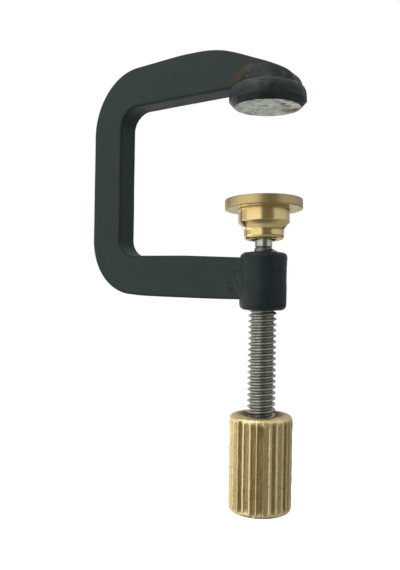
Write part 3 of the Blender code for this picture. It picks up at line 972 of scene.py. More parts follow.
@dataclass
class FrameBar:
    """The flat-bar C, its two arms, rounded spine and tapering upper tip."""

    thickness: float = 6.35 * MM
    edge: float = 0.45 * MM
    spine_out_x: float = -45.95 * MM
    spine_in_x: float = -37.70 * MM
    inner_top_radius: float = 5.0 * MM
    inner_low_radius: float = 4.2 * MM
    upper_under_z: float = 3.6 * MM
    lower_top_z: float = -33.0 * MM
    end_x: float = -3.75 * MM
    waviness: float = 0.035 * MM

    def _edges(self) -> tuple[Array, Array]:
        """The bar's outer and inner edge lines as matching stations, tip first.

        Returns:
            Two (stations, 2) arrays in the X-Z plane.
        """
        top_x, top_z = self.spine_in_x + self.inner_top_radius, self.upper_under_z - self.inner_top_radius
        low_x, low_z = self.spine_in_x + self.inner_low_radius, self.lower_top_z + self.inner_low_radius
        low_back = MM * np.array([(-34.5, -42.5), (-29.3, -42.82), (-12.8, -43.1), (-3.75, -43.1)])
        low_top = np.array([(low_x, self.lower_top_z), (-19.0 * MM, -33.1 * MM), (self.end_x, -33.66 * MM)])
        outer = [
            evenly(flowing(ARM_BACK), 76),
            bow((self.spine_out_x + 14.03 * MM, -3.0 * MM), (14.03 * MM, 16.25 * MM), 94.4, 180, 36),
            evenly(np.array([(self.spine_out_x, -3.0 * MM), (self.spine_out_x, -29.0 * MM)]), 30),
            bow((self.spine_out_x + 12.08 * MM, -29.0 * MM), (12.08 * MM, 13.52 * MM), 180, 267, 32),
            evenly(flowing(low_back), 40),
        ]
        inner = [
            evenly(np.array([(7.3 * MM, 4.4 * MM), (-5.0 * MM, 4.75 * MM), (top_x, self.upper_under_z)]), 76),
            bow((top_x, top_z), (self.inner_top_radius,) * 2, 90, 180, 36),
            evenly(np.array([(self.spine_in_x, top_z), (self.spine_in_x, low_z)]), 30),
            bow((low_x, low_z), (self.inner_low_radius,) * 2, 180, 270, 32),
            evenly(low_top, 40),
        ]
        trimmed = [slice(0, None)] + [slice(1, None)] * 4
        pairs = zip(outer, inner, trimmed)
        both = [(o[cut], i[cut]) for o, i, cut in pairs]
        return np.concatenate([o for o, _ in both]), np.concatenate([i for _, i in both])

    def _section(self) -> tuple[Array, Array, Array, Array, Array]:
        """The rounded oblong section, as numbers to be scaled at each station.

        A point lies at the inner edge plus share x width plus inset x rounding, and at side x
        (half thickness - lift x rounding) across the bar. The second half of the section is the
        first half turned half way round.

        Returns:
            share, inset, side, lift and edge value, each an array over the section's points.
        """
        turn = np.radians(np.linspace(0, 90, 6))
        start, stop = 1 - np.cos(turn), 1 - np.sin(turn)
        flat = np.array([0.03, 0.1, 0.2, 0.3, 0.4, 0.5, 0.6, 0.7, 0.8, 0.9, 0.97])
        narrow = np.linspace(-1, 1, 9)[1:-1]
        on_corner, on_flat, on_end = np.ones(6), np.zeros(11), np.zeros(7)
        share = np.concatenate([np.zeros(6), flat, np.ones(13)])
        inset = np.concatenate([start, 1 - 2 * flat, -stop, on_end])
        side = np.concatenate([-np.ones(23), narrow])
        lift = np.concatenate([stop, on_flat, start, on_end + 1])
        edge = np.concatenate([on_corner, on_flat, on_corner, on_end])
        turned = (np.concatenate(pair) for pair in ((share, 1 - share), (inset, -inset), (side, -side)))
        return *turned, np.tile(lift, 2), np.tile(edge, 2)

    def shell(self) -> Shell:
        """The bar's surface: the section carried along the C between its two edge lines."""
        outer, inner = self._edges()
        share, inset, side, lift, edge = self._section()
        across = outer - inner
        width = np.linalg.norm(across, axis=1, keepdims=True)
        way = across / width
        rounding = np.minimum(self.edge, 0.3 * width)
        reach = share * width + inset * rounding
        flat_place = inner[:, None] + way[:, None] * reach[..., None]
        half = self.thickness / 2
        y = side * (half - lift * rounding)
        sections = np.stack([flat_place[..., 0], y, flat_place[..., 1]], -1)
        shell = swept_shell(sections)
        outward = np.tile(np.sign(side) * (np.abs(side) > 0.9), len(outer))
        outward = np.concatenate([outward, [0.0, 0.0]])
        shell.points[:, 1] += outward * self.waviness * ripple(shell.points, 11 * MM, 5)
        shell.points[:, 0] += 0.03 * MM * ripple(shell.points, 14 * MM, 6)
        shell.values = {"edge": np.concatenate([np.tile(edge, len(outer)), [0.0, 0.0]])}
        return shell

    def build(self, effects: Effects) -> None:
        """Makes the bar, dresses it and puts it on the frame."""
        paint = Paint("black bar paint", rust_band=ANVIL_RUST)
        bar = piece("c_frame_bar", self.shell(), paint.make(effects))
        settle(bar, Body.FRAME, Slot.BAR_PAINT, "frame_bar")


@dataclass
class AnvilPad:
    """The round anvil: bare face, narrow chamfer, painted side and softly rounded shoulder."""

    centre_x: float = 0.5 * MM
    radius: float = 8.7 * MM
    face_radius: float = 7.47 * MM
    chamfer: float = 1.3 * MM
    height: float = 5.2 * MM
    shoulder: float = 3.1 * MM
    columns: int = 160

    def shell(self) -> Shell:
        """The pad's surface: a rounded profile turned about its own axis, with dents and waves."""
        corners = np.array(
            [
                (0.0, 0.0),
                (self.face_radius, 0.0),
                (self.radius, self.chamfer),
                (self.radius, self.height),
                (0.0, self.height),
            ]
        )
        path = rounded(corners, np.array([0.0, 0.22 * MM, 0.28 * MM, self.shoulder, 0.0]), 12)
        path = finely(path, 0.35 * MM)
        shell = turned_shell(path, self.columns)
        x, y, z = shell.points.T
        radius = np.hypot(x, y)
        bare = 1.0 - ease(self.face_radius - 0.16 * MM, self.face_radius + 0.10 * MM, radius)
        bare *= z < 0.3 * MM
        off_blotch = np.hypot((x - 4.1 * MM) / (3.0 * MM), (y - 4.2 * MM) / (2.6 * MM))
        rust = 1 - ease(0.35, 1.1, off_blotch)
        # "edge" marks the painted highlight: the upper shoulder, strongest on the side facing the window at
        # -125 degrees
        edge = ease(0.35, 0.80, z / self.height) * ease(0.6, 1.0, radius / self.radius)
        edge *= 0.25 + 0.75 * ease(0.1, 0.9, np.cos(np.arctan2(y, x) - math.radians(-125)))
        off_x, off_y = x - 4.5 * MM, y + 1.6 * MM
        down_nick, over_nick = off_x * 0.87 + off_y * 0.49, off_y * 0.87 - off_x * 0.49
        nick = np.exp(-((down_nick / (0.75 * MM)) ** 2) - (over_nick / (0.40 * MM)) ** 2)
        worn = 0.05 * MM * ripple(shell.points, 2.6 * MM, 21) * (1 - bare)
        swell = 1 + worn / np.maximum(radius, 1 * MM) * ease(0.5, 0.9, radius / self.radius)
        dents = 0.012 * MM * ripple(shell.points, 1.7 * MM, 22) + 0.16 * MM * nick
        points = np.stack([x * swell, y * swell, z + bare * dents], -1)
        points[:, 0] += self.centre_x
        values = {"bare": bare, "rust": rust, "edge": edge, "nick": nick * bare}
        return Shell(points, shell.faces, values)

    def build(self, effects: Effects) -> None:
        """Makes the pad, dresses it and puts it on the frame."""
        pad = piece("anvil", self.shell(), PadFinish().make(effects), 50)
        settle(pad, Body.FRAME, Slot.PAD_PAINT, "anvil_pad")


@dataclass
class AnvilBraze:
    """The hollow braze fillets that run from the pad's top up both faces of the upper arm."""

    arm_face: float = 3.175 * MM
    pad_top: float = 5.2 * MM
    pad_x: float = 0.5 * MM
    pad_flat: float = 5.6 * MM
    pad_shoulder: float = 3.1 * MM
    rim: float = 7.1 * MM
    rise: float = 4.2 * MM
    stations: int = 110

    def _side(self, way: float, seed: int) -> Shell:
        """One fillet: the curve (1-t)^2 A + 2t(1-t) C + t^2 B carried along the arm.

        A is high on the arm's face, B is on the pad's shoulder, and C lies close to the inner
        corner. The shoulder has fallen by s (1 - sqrt(1 - p))^2 at the share p of its rounding s.

        Args:
            way: -1 for the near face, +1 for the far face.
            seed: what its unevenness is drawn from.

        Returns:
            The closed shell.
        """
        x = np.linspace(-7.15 * MM, 7.3 * MM, self.stations)
        from_pad = x - self.pad_x
        rim_y = np.sqrt(np.maximum(self.rim**2 - from_pad**2, (self.arm_face + 0.05 * MM) ** 2))
        room = np.interp(x, ARM_BACK[::-1, 0], ARM_BACK[::-1, 1]) - 0.42 * MM - self.pad_top
        line = np.stack([x, np.zeros_like(x), np.zeros_like(x)], -1)
        climb = self.rise * ease(-9.2 * MM, -2.4 * MM, x) * (1 + 0.05 * ripple(line, 3.2 * MM, seed))
        climb = np.minimum(climb, room) + 0.05 * MM
        t = np.linspace(0.0, 1.0, 22)[None, :]
        high = self.pad_top + climb[:, None]
        face = self.arm_face + 0.015 * MM
        out = rim_y[:, None]
        past = np.clip((np.hypot(from_pad, rim_y) - self.pad_flat) / self.pad_shoulder, 0.0, 0.9)
        fall = self.pad_shoulder * (1 - np.sqrt(1 - past)) ** 2
        low = (self.pad_top - 0.10 * MM - fall)[:, None]
        fullness = 0.24 + 0.07 * ripple(line, 4.5 * MM, seed + 1) - 0.14 * ease(3 * MM, 6 * MM, x)
        fullness = fullness[:, None]
        bend_y = face + fullness * (out - face)
        bend_z = low + fullness * (high - low)
        y = quadratic(face, bend_y, out, t)
        z = quadratic(high, bend_z, low, t)
        in_arm = np.full_like(x, self.arm_face - 0.5 * MM)
        hidden_y = np.stack([out[:, 0], in_arm, in_arm], -1)
        under = np.full_like(x, self.pad_top - 1.6 * MM)
        hidden_z = np.stack([under, under, high[:, 0] - 0.1 * MM], -1)
        lumps = 0.04 * MM * ripple(np.stack([np.repeat(x[:, None], 22, 1), y, z], -1), 1.5 * MM, seed + 2)
        y = y + lumps * np.sin(np.pi * t)
        all_y = np.concatenate([y, hidden_y], 1) * way
        all_z = np.concatenate([z, hidden_z], 1)
        all_x = np.repeat(x[:, None], all_y.shape[1], 1)
        return swept_shell(np.stack([all_x, all_y, all_z], -1)).outward()

    def build(self, effects: Effects) -> None:
        """Makes both fillets as one piece, dresses them and puts them on the frame."""
        finish = BrazeFinish("painted anvil braze", stain_start=0.56, flecks=0.15, rust_band=ANVIL_RUST)
        shell = self._side(-1.0, 31).joined(self._side(1.0, 41))
        settle(piece("anvil_fillets", shell, finish.make(effects), 60), Body.FRAME, Slot.BRAZE, "anvil_braze")


@dataclass(frozen=True)
class Thread:
    """A right-handed 60 degree thread: a crest at angle a lies at start + pitch x a / one turn."""

    pitch: float = 1.27 * MM
    crest_radius: float = 3.175 * MM
    root_radius: float = 2.53 * MM
    start: float = -32.21 * MM

    def ridge(self, phase: Array) -> Array:
        """How high the thread stands at a share of the pitch from a crest.

        The flanks are straight with softened ends: 0.65 linear plus 0.35 of the smooth step.

        Args:
            phase: share of a pitch; whole numbers are crests.

        Returns:
            0 at the root to 1 at the crest.
        """
        away = np.abs((phase + 0.5) % 1.0 - 0.5) * self.pitch
        share = np.clip((0.476 * MM - away) / (0.476 * MM - 0.075 * MM), 0.0, 1.0)
        return 0.65 * share + 0.35 * share * share * (3 - 2 * share)

    def radius(self, phase: Array) -> Array:
        """The thread's radius at a share of the pitch from a crest."""
        return self.root_radius + (self.crest_radius - self.root_radius) * self.ridge(phase)


@dataclass
class BossSleeve:
    """The threaded boss: a painted sleeve with soft ends, small burrs and a real inside thread."""

    radius: float = 5.3 * MM
    top_z: float = -32.45 * MM
    bottom_z: float = -45.45 * MM
    rounding: float = 1.3 * MM
    low_rounding: float = 1.9 * MM
    clearance: float = 0.10 * MM
    columns: int = 144
    thread: Thread = field(default_factory=Thread)

    def shell(self) -> Shell:
        """The sleeve's surface: the outer wall turned, the bore cut by the thread plus its clearance."""
        mouth = self.thread.crest_radius + self.clearance + 0.35 * MM
        bore = self.thread.crest_radius + self.clearance
        wall = [(radius, self.top_z) for radius in (mouth, self.radius)]
        wall += [(radius, self.bottom_z) for radius in (self.radius, mouth)]
        outside = rounded(np.array(wall), np.array([0.0, self.rounding, self.low_rounding, 0.0]), 9)
        outside = finely(outside, 0.45 * MM)
        height = np.arange(self.bottom_z + 0.4 * MM, self.top_z - 0.4 * MM, self.thread.pitch / 16)
        inside = np.stack([np.full_like(height, bore), height], -1)
        path = np.concatenate([outside, inside])
        shell = turned_shell(path, self.columns, ring=True)
        x, y, z = shell.points.T
        distance, angle = np.hypot(x, y), np.arctan2(y, x)
        in_bore = (distance < bore + 0.01 * MM) & (z > height[0] - 1e-6) & (z < height[-1] + 1e-6)
        phase = (z - self.thread.start) / self.thread.pitch - angle / TURN
        cut = self.thread.radius(phase) + self.clearance
        cut = np.maximum(cut, bore - 8.0 * np.minimum(z - height[0], height[-1] - z).clip(0.0))
        skin = 0.045 * MM * ripple(shell.points, 5 * MM, 51) + 0.015 * MM * ripple(shell.points, 1.3 * MM, 52)
        at_top = ease(self.top_z - 0.7 * MM, self.top_z, z) * (1 - in_bore)
        burr_left = np.exp(-(((angle - math.radians(-135)) / 0.10) ** 2))
        burr_right = np.exp(-(((angle - math.radians(-12)) / 0.13) ** 2))
        burrs = at_top * (0.22 * burr_left + 0.15 * burr_right) * MM
        toward_arm = np.cos(angle - math.radians(175)).clip(0.0)
        softer = at_top * 0.35 * MM * toward_arm * ease(3.4 * MM, 5.2 * MM, distance)
        grown = np.where(in_bore, cut, distance + skin * ease(3.6 * MM, 4.6 * MM, distance) - softer)
        ratio = grown / distance
        ragged = 0.6 + 0.4 * ripple(shell.points, 0.5 * MM, 53)
        raised = burrs * ease(4.0 * MM, 4.9 * MM, distance) * ragged
        points = np.stack([x * ratio, y * ratio, z + raised - 0.5 * softer], -1)
        edge = (np.minimum(self.top_z - z, z - self.bottom_z) < 0.8 * MM) & (distance > 4.4 * MM)
        return Shell(points, shell.faces, {"edge": edge.astype(float)})

    def build(self, effects: Effects) -> None:
        """Makes the sleeve, dresses it and puts it on the frame."""
        # painted shade: the boss carries the darkest tone of the frame's black paint
        paint = Paint(
            "black boss paint",
            colour=(0.0098, 0.0188, 0.0218),
            faded=(0.0145, 0.0255, 0.0280),
            roughness=0.40,
            gloss=0.24,
            edge_shade=0.0,
        )
        boss = piece("threaded_boss", self.shell(), paint.make(effects), 50)
        settle(boss, Body.FRAME, Slot.BOSS_PAINT, "boss_sleeve")


@dataclass
class BossBraze:
    """The ground, crescent-shaped fillets where the lower arm meets the boss."""

    arm_face: float = 3.175 * MM
    radius: float = 5.3 * MM
    top_z: float = -33.75 * MM
    bottom_z: float = -43.0 * MM
    reach: float = 3.5 * MM
    stations: int = 70

    def _side(self, way: float, seed: int) -> Shell:
        """One fillet: a hollow curve from the arm's face to the boss, carried up the boss.

        Its reach along the arm is reach x sqrt(1 - s^2) at the share s of half its height, so its
        edge is a crescent.

        Args:
            way: -1 for the near face, +1 for the far face.
            seed: what its unevenness is drawn from.

        Returns:
            The closed shell.
        """
        share = np.linspace(-1.0, 1.0, self.stations)
        z = (self.top_z + self.bottom_z) / 2 + (self.top_z - self.bottom_z) / 2 * share
        line = np.stack([np.zeros_like(z), np.zeros_like(z), z], -1)
        bulge = np.sqrt(np.maximum(1 - share**2, 0.0))
        uneven = ripple(line, 2.6 * MM, seed)
        touch_x = -math.sqrt(self.radius**2 - self.arm_face**2)
        start_x = touch_x - 0.12 * MM - self.reach * bulge * (1 + 0.08 * uneven)
        turn = np.radians(180 - (38 + 16 * bulge + 2 * uneven))
        end_x, end_y = self.radius * np.cos(turn), self.radius * np.sin(turn)
        t = np.linspace(0.0, 1.0, 20)[None, :]
        face = self.arm_face + 0.02 * MM
        bend_x = (touch_x - 0.30 * MM * bulge)[:, None]
        bend_y = np.full_like(bend_x, face + 0.02 * MM) + 0.22 * MM * bulge[:, None]
        x = quadratic(start_x[:, None], bend_x, end_x[:, None], t)
        y = quadratic(face, bend_y, end_y[:, None], t)
        grind = 0.05 * MM * ripple(np.stack([x, y, np.repeat(z[:, None], 20, 1)], -1), 1.8 * MM, seed + 1)
        y = y + grind * np.sin(np.pi * t)
        hidden_x = np.stack([end_x + 0.6 * MM, start_x + 0.1 * MM], -1)
        hidden_y = np.stack([np.full_like(z, self.arm_face - 0.6 * MM)] * 2, -1)
        all_x = np.concatenate([x, hidden_x], 1)
        all_y = np.concatenate([y, hidden_y], 1) * way
        all_z = np.repeat(z[:, None], all_x.shape[1], 1)
        return swept_shell(np.stack([all_x, all_y, all_z], -1)).outward()

    def build(self, effects: Effects) -> None:
        """Makes both fillets as one piece, dresses them and puts them on the frame."""
        # painted shade: the boss fillets carry a darker tone of the frame's black paint than the bar
        finish = BrazeFinish(
            "painted boss braze",
            paint=(0.0190, 0.0310, 0.0300),
            cloudy=(0.0330, 0.0470, 0.0440),
            stain=(0.0105, 0.0175, 0.0180),
            pale=(0.060, 0.073, 0.068),
            stain_start=0.50,
            flecks=0.02,
            lumps=0.10 * MM,
        )
        shell = self._side(-1.0, 61).joined(self._side(1.0, 71))
        fillets = piece("boss_fillets", shell, finish.make(effects), 60)
        settle(fillets, Body.FRAME, Slot.BOSS_PAINT, "boss_braze")


# ---------------------------------------------------------------- the screw and its knob
@dataclass
class ClampScrew:
    """The screw: a polished neck and spigot, a rolled thread and a peened tail."""

    thread: Thread = field(default_factory=Thread)
    knob_top_z: float = -68.73 * MM
    knob_bottom_z: float = -90.4 * MM
    shank_radius: float = 2.9 * MM
    peen_radius: float = 3.7 * MM
    rows: int = 18
    columns: int = 80

    def thread_shell(self) -> Shell:
        """The thread as one ribbon that winds down the screw.

        Row a at step t is at angle t x turn / columns and at height base + pitch (t / columns +
        a / rows); the ribbon's last row is the first row one turn later, so the crest is unbroken.
        """
        pitch = self.thread.pitch
        low = self.knob_top_z - 0.9 * MM
        first = math.floor((low - self.thread.start) / pitch)
        base = self.thread.start + first * pitch
        turns = math.ceil((-30.6 * MM - base) / pitch)
        steps = turns * self.columns
        step = np.arange(steps + self.columns + 1)
        row = np.arange(self.rows)[:, None] / self.rows
        angle = step / self.columns * TURN
        z = base + pitch * (step / self.columns + row)
        radius = self.thread.radius(np.repeat(row, len(step), 1))
        places = np.broadcast_arrays(np.cos(angle) * 3 * MM, np.sin(angle) * 3 * MM, z)
        worn = 0.02 * MM * ripple(np.stack(places, -1), 1.6 * MM, 81)
        radius = radius + worn * self.thread.ridge(np.repeat(row, len(step), 1))
        lean = 0.40 * MM * (1 + np.cos(angle - math.radians(15)))
        radius = np.minimum(radius, 1.55 * MM + np.maximum(-32.2 * MM + lean - z, 0.0) * 2.0)
        radius = np.maximum(radius, 1.2 * MM)
        points = np.stack([radius * np.cos(angle), radius * np.sin(angle), z], -1).transpose(1, 0, 2)
        count = len(step)
        strip = np.arange(count)[:, None] * self.rows + np.arange(self.rows)[None, :]
        here, later = strip[:steps], strip[self.columns : self.columns + steps]
        grid = np.concatenate([here, later[:, :1]], 1)
        follow_here = strip[1 : steps + 1]
        follow_later = strip[self.columns + 1 : self.columns + steps + 1]
        follow = np.concatenate([follow_here, follow_later[:, :1]], 1)
        quads = np.stack([grid[:, :-1], follow[:, :-1], follow[:, 1:], grid[:, 1:]], -1).reshape(-1, 4)
        flat_points = points.reshape(-1, 3)
        start_rim = np.concatenate([strip[0, :], strip[self.columns : 0 : -1, 0]])
        end_rim = np.concatenate([strip[steps, :], strip[steps + self.columns : steps : -1, 0]])
        poles = np.array([[0.0, 0.0, base - 0.3 * MM], [0.0, 0.0, base + pitch * (turns + 1) + 0.3 * MM]])
        used = len(flat_points)
        faces = [quads, fan(start_rim[::-1], used), fan(end_rim, used + 1)]
        all_points = np.concatenate([flat_points, poles])
        reached = np.unique(np.concatenate([group.reshape(-1) for group in faces]))
        number = np.full(len(all_points), -1)
        number[reached] = np.arange(len(reached))
        along = np.concatenate([np.tile(np.arange(self.rows) * pitch / self.rows, count), [0.0, 0.0]])
        ridge = self.thread.ridge(np.arange(self.rows) / self.rows)
        crest = np.concatenate([np.tile(ridge, count), [0.0, 0.0]])
        values = {"along": along[reached], "edge": crest[reached]}
        return Shell(all_points[reached], [number[group] for group in faces], values)

    def neck_shell(self) -> Shell:
        """The spigot, the rivet head, the neck with its groove, and the core it runs into."""
        corners = np.array(
            [
                (0.0, -24.35), (1.45, -24.35), (1.60, -24.50), (1.60, -24.80), (1.20, -24.80), (1.20, -28.75),
                (1.96, -28.75), (1.96, -31.12), (1.83, -31.28), (1.83, -31.46), (2.04, -31.60), (2.12, -32.1),
                (2.25, -33.4), (2.25, -34.6), (0.0, -34.6),
            ]
        ) * MM
        radii = np.array([0, 0.1, 0.05, 0.03, 0.02, 0.02, 0.12, 0.05, 0.05, 0.05, 0.08, 0.2, 0.1, 0, 0]) * MM
        shell = turned_shell(finely(rounded(corners, radii, 5), 0.25 * MM), 96)
        shell.values["dull"] = ease(-31.0 * MM, -31.4 * MM, shell.points[:, 2])
        return shell

    def tail_shell(self) -> Shell:
        """The peened end under the knob, hammered a little out of round."""
        low, shank, peen = self.knob_bottom_z, self.shank_radius, self.peen_radius
        corners = np.array(
            [
                (0.0, low + 2.2 * MM), (shank, low + 2.2 * MM), (shank, low + 1.15 * MM),
                (peen, low + 0.55 * MM), (peen * 0.92, low + 0.25 * MM), (0.0, low + 0.12 * MM),
            ]
        )
        radii = np.array([0, 0, 0.1, 0.2, 0.5, 0]) * MM
        shell = turned_shell(finely(rounded(corners, radii, 5), 0.25 * MM), 72)
        x, y, z = shell.points.T
        below = ease(low + 1.0 * MM, low + 0.4 * MM, z)
        hammered = 1 + below * 0.02 * ripple(shell.points, 2.2 * MM, 82)
        dents = below * 0.05 * MM * ripple(shell.points, 1.4 * MM, 83)
        shell.points = np.stack([x * hammered, y * hammered, z + dents], -1)
        shell.values["edge"] = below
        return shell

    def build(self, effects: Effects) -> None:
        """Makes the three pieces of the screw, dresses them and puts them on the screw's body."""
        # the rolled thread's finish darkens its roots as painted shade
        rolled = TurnedMetal(
            "dull threaded steel", (0.53, 0.55, 0.48), (0.25, 0.26, 0.22), (0.11, 0.105, 0.075),
            roughness=0.26, dullness=0.46, marks=5200.0, mark_depth=0.006 * MM, stain_start=0.58,
            pitting=0.12, root_shade=0.45,
        )
        polished = TurnedMetal(
            "polished neck steel", (0.58, 0.585, 0.555), (0.20, 0.205, 0.18), (0.14, 0.14, 0.11),
            roughness=0.12, dullness=0.3, marks=8000.0, mark_depth=0.003 * MM, stain_start=0.68,
        )
        finish = rolled.make(effects)
        thread = piece("screw_thread", self.thread_shell(), finish, 60)
        settle(thread, Body.SCREW, Slot.SCREW_STEEL, "clamp_screw")
        neck = piece("screw_neck", self.neck_shell(), polished.make(effects), 35)
        settle(neck, Body.SCREW, Slot.SCREW_STEEL)
        settle(piece("screw_tail", self.tail_shell(), finish, 40), Body.SCREW, Slot.SCREW_STEEL)


@dataclass
class ThumbKnob:
    """The fluted brass knob with uneven ridges, smooth shoulders and a sunk mouth at each end."""

    radius: float = 7.08 * MM
    top_z: float = -68.73 * MM
    bottom_z: float = -90.4 * MM
    shoulder: float = 1.5 * MM
    bore: float = 3.2 * MM
    sink_radius: float = 4.55 * MM
    sink_depth: float = 1.1 * MM
    flutes: int = 28
    depth: float = 0.40 * MM
    first_ridge: float = 4.4
    columns_per_flute: int = 24
    seed: int = 91

    def _flute_depth(self, angle: Array) -> Array:
        """How deep the fluting is at each angle, 0 on a ridge to about 1 in a flute.

        Each flute has its own width and depth, drawn once; its floor is flat and its walls are
        smooth steps that rise to a narrow ridge.

        Args:
            angle: angles about the axis, in radians.

        Returns:
            The depth as a share of the full depth.
        """
        draw = np.random.default_rng(self.seed)
        width = draw.uniform(-0.14, 0.16, self.flutes)
        deep = draw.uniform(0.55, 1.15, self.flutes)
        shift = draw.uniform(-0.07, 0.07, self.flutes)
        place = ((angle - math.radians(self.first_ridge)) / TURN * self.flutes) % self.flutes
        number = np.floor(place).astype(int) % self.flutes
        from_middle = np.abs(place - np.floor(place) - 0.5 - shift[number]) * 2
        floor = 0.46 + width[number]
        return deep[number] * (1 - ease(floor, floor + 0.42, from_middle))

    def shell(self) -> Shell:
        """The knob's surface: a turned outline whose wall is cut in by the flutes."""
        corners = np.array(
            [
                (self.sink_radius, self.top_z),
                (self.radius, self.top_z),
                (self.radius, self.bottom_z),
                (self.sink_radius, self.bottom_z),
                (self.bore, self.bottom_z + self.sink_depth),
                (self.bore, self.top_z - self.sink_depth),
            ]
        )
        radii = np.array([0.15 * MM, self.shoulder, self.shoulder, 0.15 * MM, 0.1 * MM, 0.1 * MM])
        path = finely(rounded(corners, radii, 8), 0.55 * MM)
        shell = turned_shell(path, self.flutes * self.columns_per_flute, ring=True)
        x, y, z = shell.points.T
        distance, angle = np.hypot(x, y), np.arctan2(y, x)
        on_wall = ease(self.radius - 0.62 * MM, self.radius - 0.1 * MM, distance)
        from_end = np.minimum(self.top_z - z, z - self.bottom_z)
        run_out = ease(0.75 * MM, 1.65 * MM, from_end + 0.25 * MM * ripple(shell.points, 2.5 * MM, 92))
        # the side toward the window light: its flutes are cut shallower and its raised value is pushed up,
        # which the brass finish shows as a painted highlight
        lit_side = ease(0.78, 0.94, np.cos(angle - math.radians(-150)))
        share = self._flute_depth(angle) * (1 - 0.35 * lit_side)
        wander = 1 + 0.10 * ripple(shell.points * np.array([1.0, 1.0, 0.35]), 2.0 * MM, 93)
        cut = self.depth * share * wander * run_out * on_wall
        nicks = 0.026 * MM * ripple(shell.points, 0.8 * MM, 94)
        dents = 0.03 * MM * ripple(shell.points, 3.5 * MM, 95)
        ratio = (distance - cut + on_wall * (nicks + dents)) / distance
        points = np.stack([x * ratio, y * ratio, z], -1)
        # on the end faces the raised value falls toward the sunk mouth and below zero inside it, which the
        # brass finish paints as shade
        face = 0.30 + 0.42 * ease(self.sink_radius + 0.3 * MM, self.radius - 0.8 * MM, distance)
        face -= 0.55 * (1 - ease(self.sink_radius - 0.3 * MM, self.sink_radius + 0.9 * MM, distance))
        wall = 1 - 0.9 * share * run_out
        raised = np.where(on_wall > 0.5, wall + 0.6 * lit_side * (1 - wall), face)
        return Shell(points, shell.faces, {"edge": raised})

    def build(self, effects: Effects) -> None:
        """Makes the knob, dresses it and puts it on the screw's body."""
        knob = piece("fluted_knob", self.shell(), FlutedBrass().make(effects), 45)
        settle(knob, Body.SCREW, Slot.KNOB_BRASS, "thumb_knob")


# ---------------------------------------------------------------- the swivel foot
@dataclass
class SwivelFoot:
    """The stepped brass foot: gripping disc, hub, hollow step, round collar and open socket."""

    face_z: float = -20.68 * MM
    ball_z: float = -26.6 * MM
    disc_radius: float = 8.76 * MM
    disc_thickness: float = 2.16 * MM
    hub_radius: float = 5.78 * MM
    hub_end: float = 5.32 * MM
    step_end: float = 7.40 * MM
    collar_radius: float = 4.50 * MM
    height: float = 9.02 * MM
    socket_radius: float = 3.06 * MM
    tilt: float = -3.2
    columns: int = 160

    def shell(self) -> Shell:
        """The foot's surface: its profile turned upright, then leaned about the ball's centre."""
        top = self.face_z - self.ball_z
        disc, hub = top - self.disc_thickness, top - self.hub_end
        step, foot = top - self.step_end, top - self.height
        down = np.linspace(0.0, 1.0, 12)[1:]
        hollow_r = self.collar_radius + (self.hub_radius - 0.22 * MM - self.collar_radius) * (1 - down) ** 2.4
        hollow = np.stack([hollow_r, hub + (step - hub) * down], -1)
        head = np.array(
            [
                (0.0, top), (0.5 * MM, top), (self.disc_radius, top), (self.disc_radius, disc),
                (self.hub_radius, disc), (self.hub_radius, hub + 0.22 * MM),
                (self.hub_radius - 0.22 * MM, hub),
            ]
        )
        head = rounded(head, np.array([0, 0, 0.22, 0.28, 0.16, 0.08, 0.06]) * MM, 6)
        collar, bowl, ring_seat = self.collar_radius, self.socket_radius, 3.22 * MM
        seat_low, seat_high = -2.38 * MM, -1.52 * MM
        socket = bow((0.0, 0.0), (bowl, bowl), 0, 89, 14)
        groove = np.array(
            [
                (collar, step - 0.1 * MM), (collar, foot), (bowl + 0.12 * MM, foot),
                (bowl, foot + 0.16 * MM), (bowl, seat_low), (ring_seat, seat_low),
                (ring_seat, seat_high), (bowl, seat_high), (bowl, -0.1 * MM),
            ]
        )
        groove = rounded(groove, np.array([0, 1.0, 0.06, 0.05, 0, 0, 0, 0, 0]) * MM, 8)
        path = np.concatenate([head, hollow, groove, socket, [(0.0, bowl)]])
        shell = turned_shell(finely(distinct(path, 1e-6), 0.3 * MM), self.columns)
        lean = np.array(Matrix.Rotation(math.radians(self.tilt), 3, Vector((1, 1, 0)).normalized()))
        x, y, z = shell.points.T
        distance = np.hypot(x, y)
        rim = ease(self.disc_radius - 0.5 * MM, self.disc_radius - 0.2 * MM, distance)
        upper_edge = ease(top - 0.34 * MM, top - 0.10 * MM, z) * rim
        near_hub = 1 - ease(self.hub_radius, self.hub_radius + 0.5 * MM, distance)
        # the corner under the disc, beside the hub, and the disc's top rim take the dull value past 1, where
        # the finish darkens them
        in_corner = ease(disc - 0.45 * MM, disc, z) * near_hub
        shell.values["dull"] = 0.8 * rim + 0.7 * upper_edge + 1.1 * in_corner * (z < disc + 1e-6)
        shell.points = shell.points @ lean.T + np.array([0.0, 0.0, self.ball_z])
        return shell

    def build(self, effects: Effects, nodes: dict[str, bpy.types.Object]) -> None:
        """Makes the foot, and dresses the ball and the ring that hide inside it.

        Args:
            effects: the shared groups.
            nodes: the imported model's nodes.
        """
        brass = TurnedMetal(
            "polished turned brass", (0.81, 0.62, 0.295), (0.50, 0.385, 0.195), (0.27, 0.185, 0.085),
            roughness=0.18, dullness=0.26, marks=7000.0, mark_depth=0.004 * MM, stain_start=0.64,
            pitting=0.03, dull_rough=0.04,
        )
        settle(piece("brass_foot", self.shell(), brass.make(effects), 28), Body.FOOT, Slot.BRASS, "foot_body")
        spring = BallSteel("spring steel", (0.36, 0.36, 0.37), 0.26)
        for name, metal in (("swivel_ball", BallSteel()), ("retaining_ring", spring)):
            finish = metal.make(effects)
            mesh = nodes[name].data
            mesh.materials.clear()
            mesh.materials.append(finish)
            LOG.info("%s: kept from the model and dressed", name)


